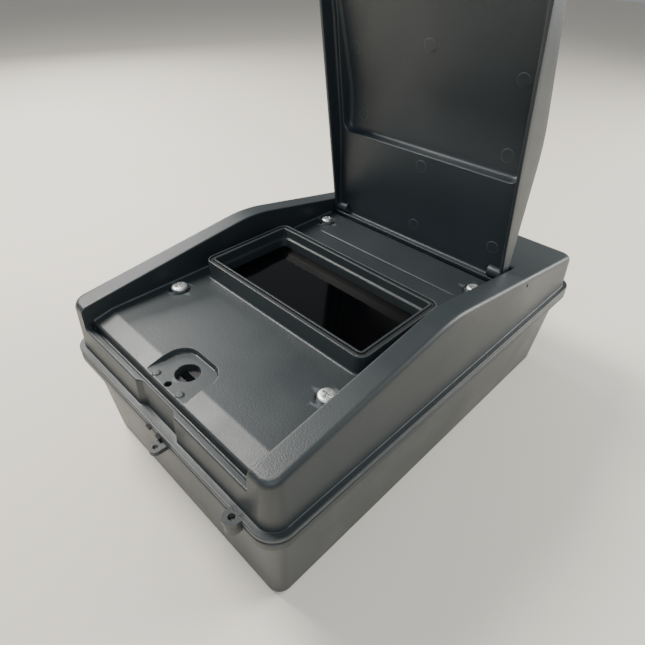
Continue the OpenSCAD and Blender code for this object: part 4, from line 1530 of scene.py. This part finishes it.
@dataclass
class CrossScrew:
    """A pan-head machine screw with a cross recess, standing on its counterbore."""

    head_r: float
    head_h: float
    shank_r: float
    length: float
    arm: float = 0.62
    slot_w: float = 0.95
    depth: float = 1.3
    steps: int = 96
    turn: float = 0.5

    def add(self, shell: Shell, x: float, y: float, seat: float) -> None:
        """Add one screw to a shell.

        The head is a polar grid: a dome that falls as the fourth power of the radius,
        less the recess, which is the larger of two crossed arms with sloping walls.

        Args:
            shell: The shell that takes the points and faces.
            x: Its place across.
            y: Its place along.
            seat: Height of the seat under its head.
        """
        recess_end = self.head_r * 0.72
        radii = stations((0.02, recess_end, 0.12), (recess_end, self.head_r, 0.2))
        angle = np.linspace(0, 2 * math.pi, self.steps, endpoint=False) - self.turn
        r, a = np.meshgrid(radii, angle, indexing="ij")
        u, v = r * np.cos(a), r * np.sin(a)
        share = r / self.head_r
        dome = self.head_h * (1 - 0.10 * share**2 - 0.20 * share**8)
        cut = np.zeros_like(r)
        for along, across in ((u, v), (v, u)):
            wall = smooth((self.slot_w / 2 + 0.12 - np.abs(across)) / 0.24)
            cut = np.maximum(cut, wall * smooth((self.head_r * self.arm - np.abs(along)) / 0.35))
        z = dome - cut * self.depth * np.clip(1.15 - share * 1.1, 0.35, 1)
        ids = shell.add(np.stack([x + u, y + v, seat + z], axis=-1))
        shell.bands(list(ids[::-1]))
        shell.cap(ids[0])
        side = filleted([
            (self.head_r, self.head_h * 0.70, 0), (self.head_r, 0.0, 0.25), (self.shank_r, 0.0, 0),
            (self.shank_r, -self.length, 0)], 3)
        way = np.stack([np.cos(angle), np.sin(angle)], axis=-1)
        lower = [shell.add(at(np.array([x, y]) + radius * way, seat + height)) for radius, height in side]
        rings = [ids[-1], *lower]
        shell.bands(rings, flip=True)
        shell.cap(rings[-1], flip=True)


@dataclass
class CoverScrews:
    """The four bright screws that hold the cover on the base."""

    house: Housing
    cover: CoverShell
    front: CrossScrew = field(default_factory=lambda: CrossScrew(4.5, 3.4, 2.5, 9.0))
    rear: CrossScrew = field(default_factory=lambda: CrossScrew(3.7, 3.6, 2.0, 9.0))

    def build(self, finishes: Finishes) -> list[bpy.types.Object]:
        """Make the front pair and the rear pair.

        Args:
            finishes: Makes and hands out the finishes.

        Returns:
            The pieces made.
        """
        made = []
        c = self.cover
        pairs = (
            ("front_pan_screws", "front_cover_screws", self.front, c.front_screw_y),
            ("rear_pan_screws", "rear_cover_screws", self.rear, c.rear_screw_y))
        for name, node, screw, y in pairs:
            shell = Shell()
            for x in (-c.screw_x, c.screw_x):
                screw.add(shell, x, y, float(self.house.deck_at(y)) - c.sink_depth)
            piece = shell.finish(name, self.house.lift())
            finishes.give(piece, Finish.ZINC)
            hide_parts(node)
            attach(piece, "housing")
            made.append(piece)
        return made


# ---------- nodes that keep their own shape ----------


KEPT: dict[str, Finish] = {
    "base_seal_ears": Finish.HOUSING, "cover_seal_ear": Finish.HOUSING, "cover_gasket": Finish.RUBBER,
    # The lock socket wears black in place of brass: partly its dark ring, partly painted shade deep in the lock hole.
    "hinge_pins": Finish.ZINC, "lock_barrel": Finish.NICKEL, "lock_socket": Finish.BLACK_PART,
    "front_inserts": Finish.BRASS, "rear_inserts": Finish.BRASS, "display_frame": Finish.BLACK_PART,
    "frame_screws": Finish.ZINC, "display_panel": Finish.BLACK_PART, "main_board": Finish.BOARD,
    "main_board_screws": Finish.ZINC, "processor_can": Finish.ALUMINIUM, "sounder": Finish.BLACK_PART,
    "display_socket": Finish.IVORY, "ribbon_cable": Finish.RIBBON, "reader_board": Finish.BOARD,
    "reader_screws": Finish.ZINC, "reader_chip": Finish.BLACK_PART, "power_supply": Finish.ALUMINIUM,
    "power_supply_screws": Finish.ZINC, "terminal_block": Finish.GREY_PART, "cable_grommet": Finish.RUBBER,
}


def dress_kept(finishes: Finishes) -> None:
    """Give each kept node the finish of what it is, in its own slots; the lock socket's black is partly its dark ring
    and partly painted shade of the deep lock hole.
    """
    for name, finish in KEPT.items():
        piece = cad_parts[name]
        if finish not in finishes.made:
            finishes.made[finish] = finish.value.make()
        for slot in piece.material_slots:
            slot.material = finishes.made[finish]
        log.info("dressed %s as %s", name, finish.name.lower())


# ---------- studio ----------


@dataclass
class Studio:
    """A pale floor, soft light from large panels and a camera above the right front corner."""

    eye: tuple[float, float, float] = (159.6, -184.1, 240.7)
    azimuth: float = 43.45
    elevation: float = 35.95
    roll: float = 1.81
    lens: float = 28.67
    shift: tuple[float, float] = (-0.0101, -0.0269)
    floor_tint: str = "#ebe3d4"
    floor_cloud: str = "#f0e9dc"
    floor_size: float = 6000.0

    def camera(self) -> None:
        """Aim the camera: its back axis from azimuth and elevation, then rolled about that axis."""
        a, e, r = (math.radians(v) for v in (self.azimuth, self.elevation, self.roll))
        back = Vector((math.sin(a) * math.cos(e), -math.cos(a) * math.cos(e), math.sin(e)))
        right = (-back).cross(Vector((0, 0, 1))).normalized()
        up = right.cross(-back)
        turned_right = right * math.cos(r) + up * math.sin(r)
        turned_up = -right * math.sin(r) + up * math.cos(r)
        data = bpy.data.cameras.new("camera")
        data.lens, data.sensor_width = self.lens, 36.0
        data.shift_x, data.shift_y = self.shift
        data.clip_start, data.clip_end = 0.005, 50.0
        camera = bpy.data.objects.new("camera", data)
        matrix = Matrix((turned_right, turned_up, back)).transposed().to_4x4()
        matrix.translation = Vector(self.eye) * MM
        camera.matrix_world = matrix
        bpy.context.scene.collection.objects.link(camera)
        bpy.context.scene.camera = camera

    def panel(self, name: str, place: tuple[float, ...], size: float, power: float, tint: str) -> None:
        """Hang a square light panel that faces the housing.

        Args:
            name: The light's name.
            place: Its middle, in mm.
            size: Its side, in mm.
            power: Watts.
            tint: Its colour, as sRGB hex.
        """
        data = bpy.data.lights.new(name, "AREA")
        data.size, data.energy, data.color = size * MM, power, linear(tint)[:3]
        light = bpy.data.objects.new(name, data)
        light.location = Vector(place) * MM
        light.rotation_euler = (Vector((0, 0, 40)) - Vector(place)).to_track_quat("-Z", "Y").to_euler()
        bpy.context.scene.collection.objects.link(light)

    def build(self) -> None:
        """Set out floor, lights and camera."""
        shell = Shell()
        half = self.floor_size / 2
        x, y = np.meshgrid([-half, half], [-half, half])
        just_below = CAD_BOX[0][2] / MM - 0.05
        shell.skin(shell.add(np.stack([x, y, np.full_like(x, just_below)], axis=-1)))
        floor = shell.finish("floor")
        material, tree, surface = new_surface("painted_board", Roughness=0.7)
        place = add_node(tree, "TexCoord")
        cloud = add_node(tree, "TexNoise", {"Scale": per_metre(300), "Detail": 2.0}, {"Vector": (place, "Object")})
        coloured(tree, surface, (cloud, "Fac"), self.floor_tint, self.floor_cloud)
        floor.data.materials.append(material)
        world = bpy.data.worlds.new("studio")
        world.use_nodes = True
        sky = world.node_tree.nodes["Background"]
        sky.inputs["Color"].default_value = linear("#e4e9ee")
        sky.inputs["Strength"].default_value = 0.35
        bpy.context.scene.world = world
        self.panel("key_panel", (-600, -200, 820), 340, 13, "#fdfaf4")
        self.panel("left_panel", (-1000, 240, 480), 320, 4, "#fbfbf8")
        self.panel("fill_panel", (500, -700, 900), 900, 5.5, "#e8f0fb")
        self.panel("back_panel", (500, 900, 500), 600, 13, "#fbfbf7")
        self.camera()


def main() -> None:
    """Build the sub-assemblies in order and report each piece."""
    logging.basicConfig(level=logging.INFO, format="%(message)s")
    house = Housing()
    finishes = Finishes()
    cover = CoverShell(house)
    assemblies = (BaseTray(house), cover, FlipLid(house), Display(house, cover), CoverScrews(house, cover))
    for assembly in assemblies:
        for piece in assembly.build(finishes):
            log.info("%s: %s, %d faces", type(assembly).__name__, piece.name, len(piece.data.polygons))
    dress_kept(finishes)
    Studio().build()


if __name__ == "__main__":
    main()
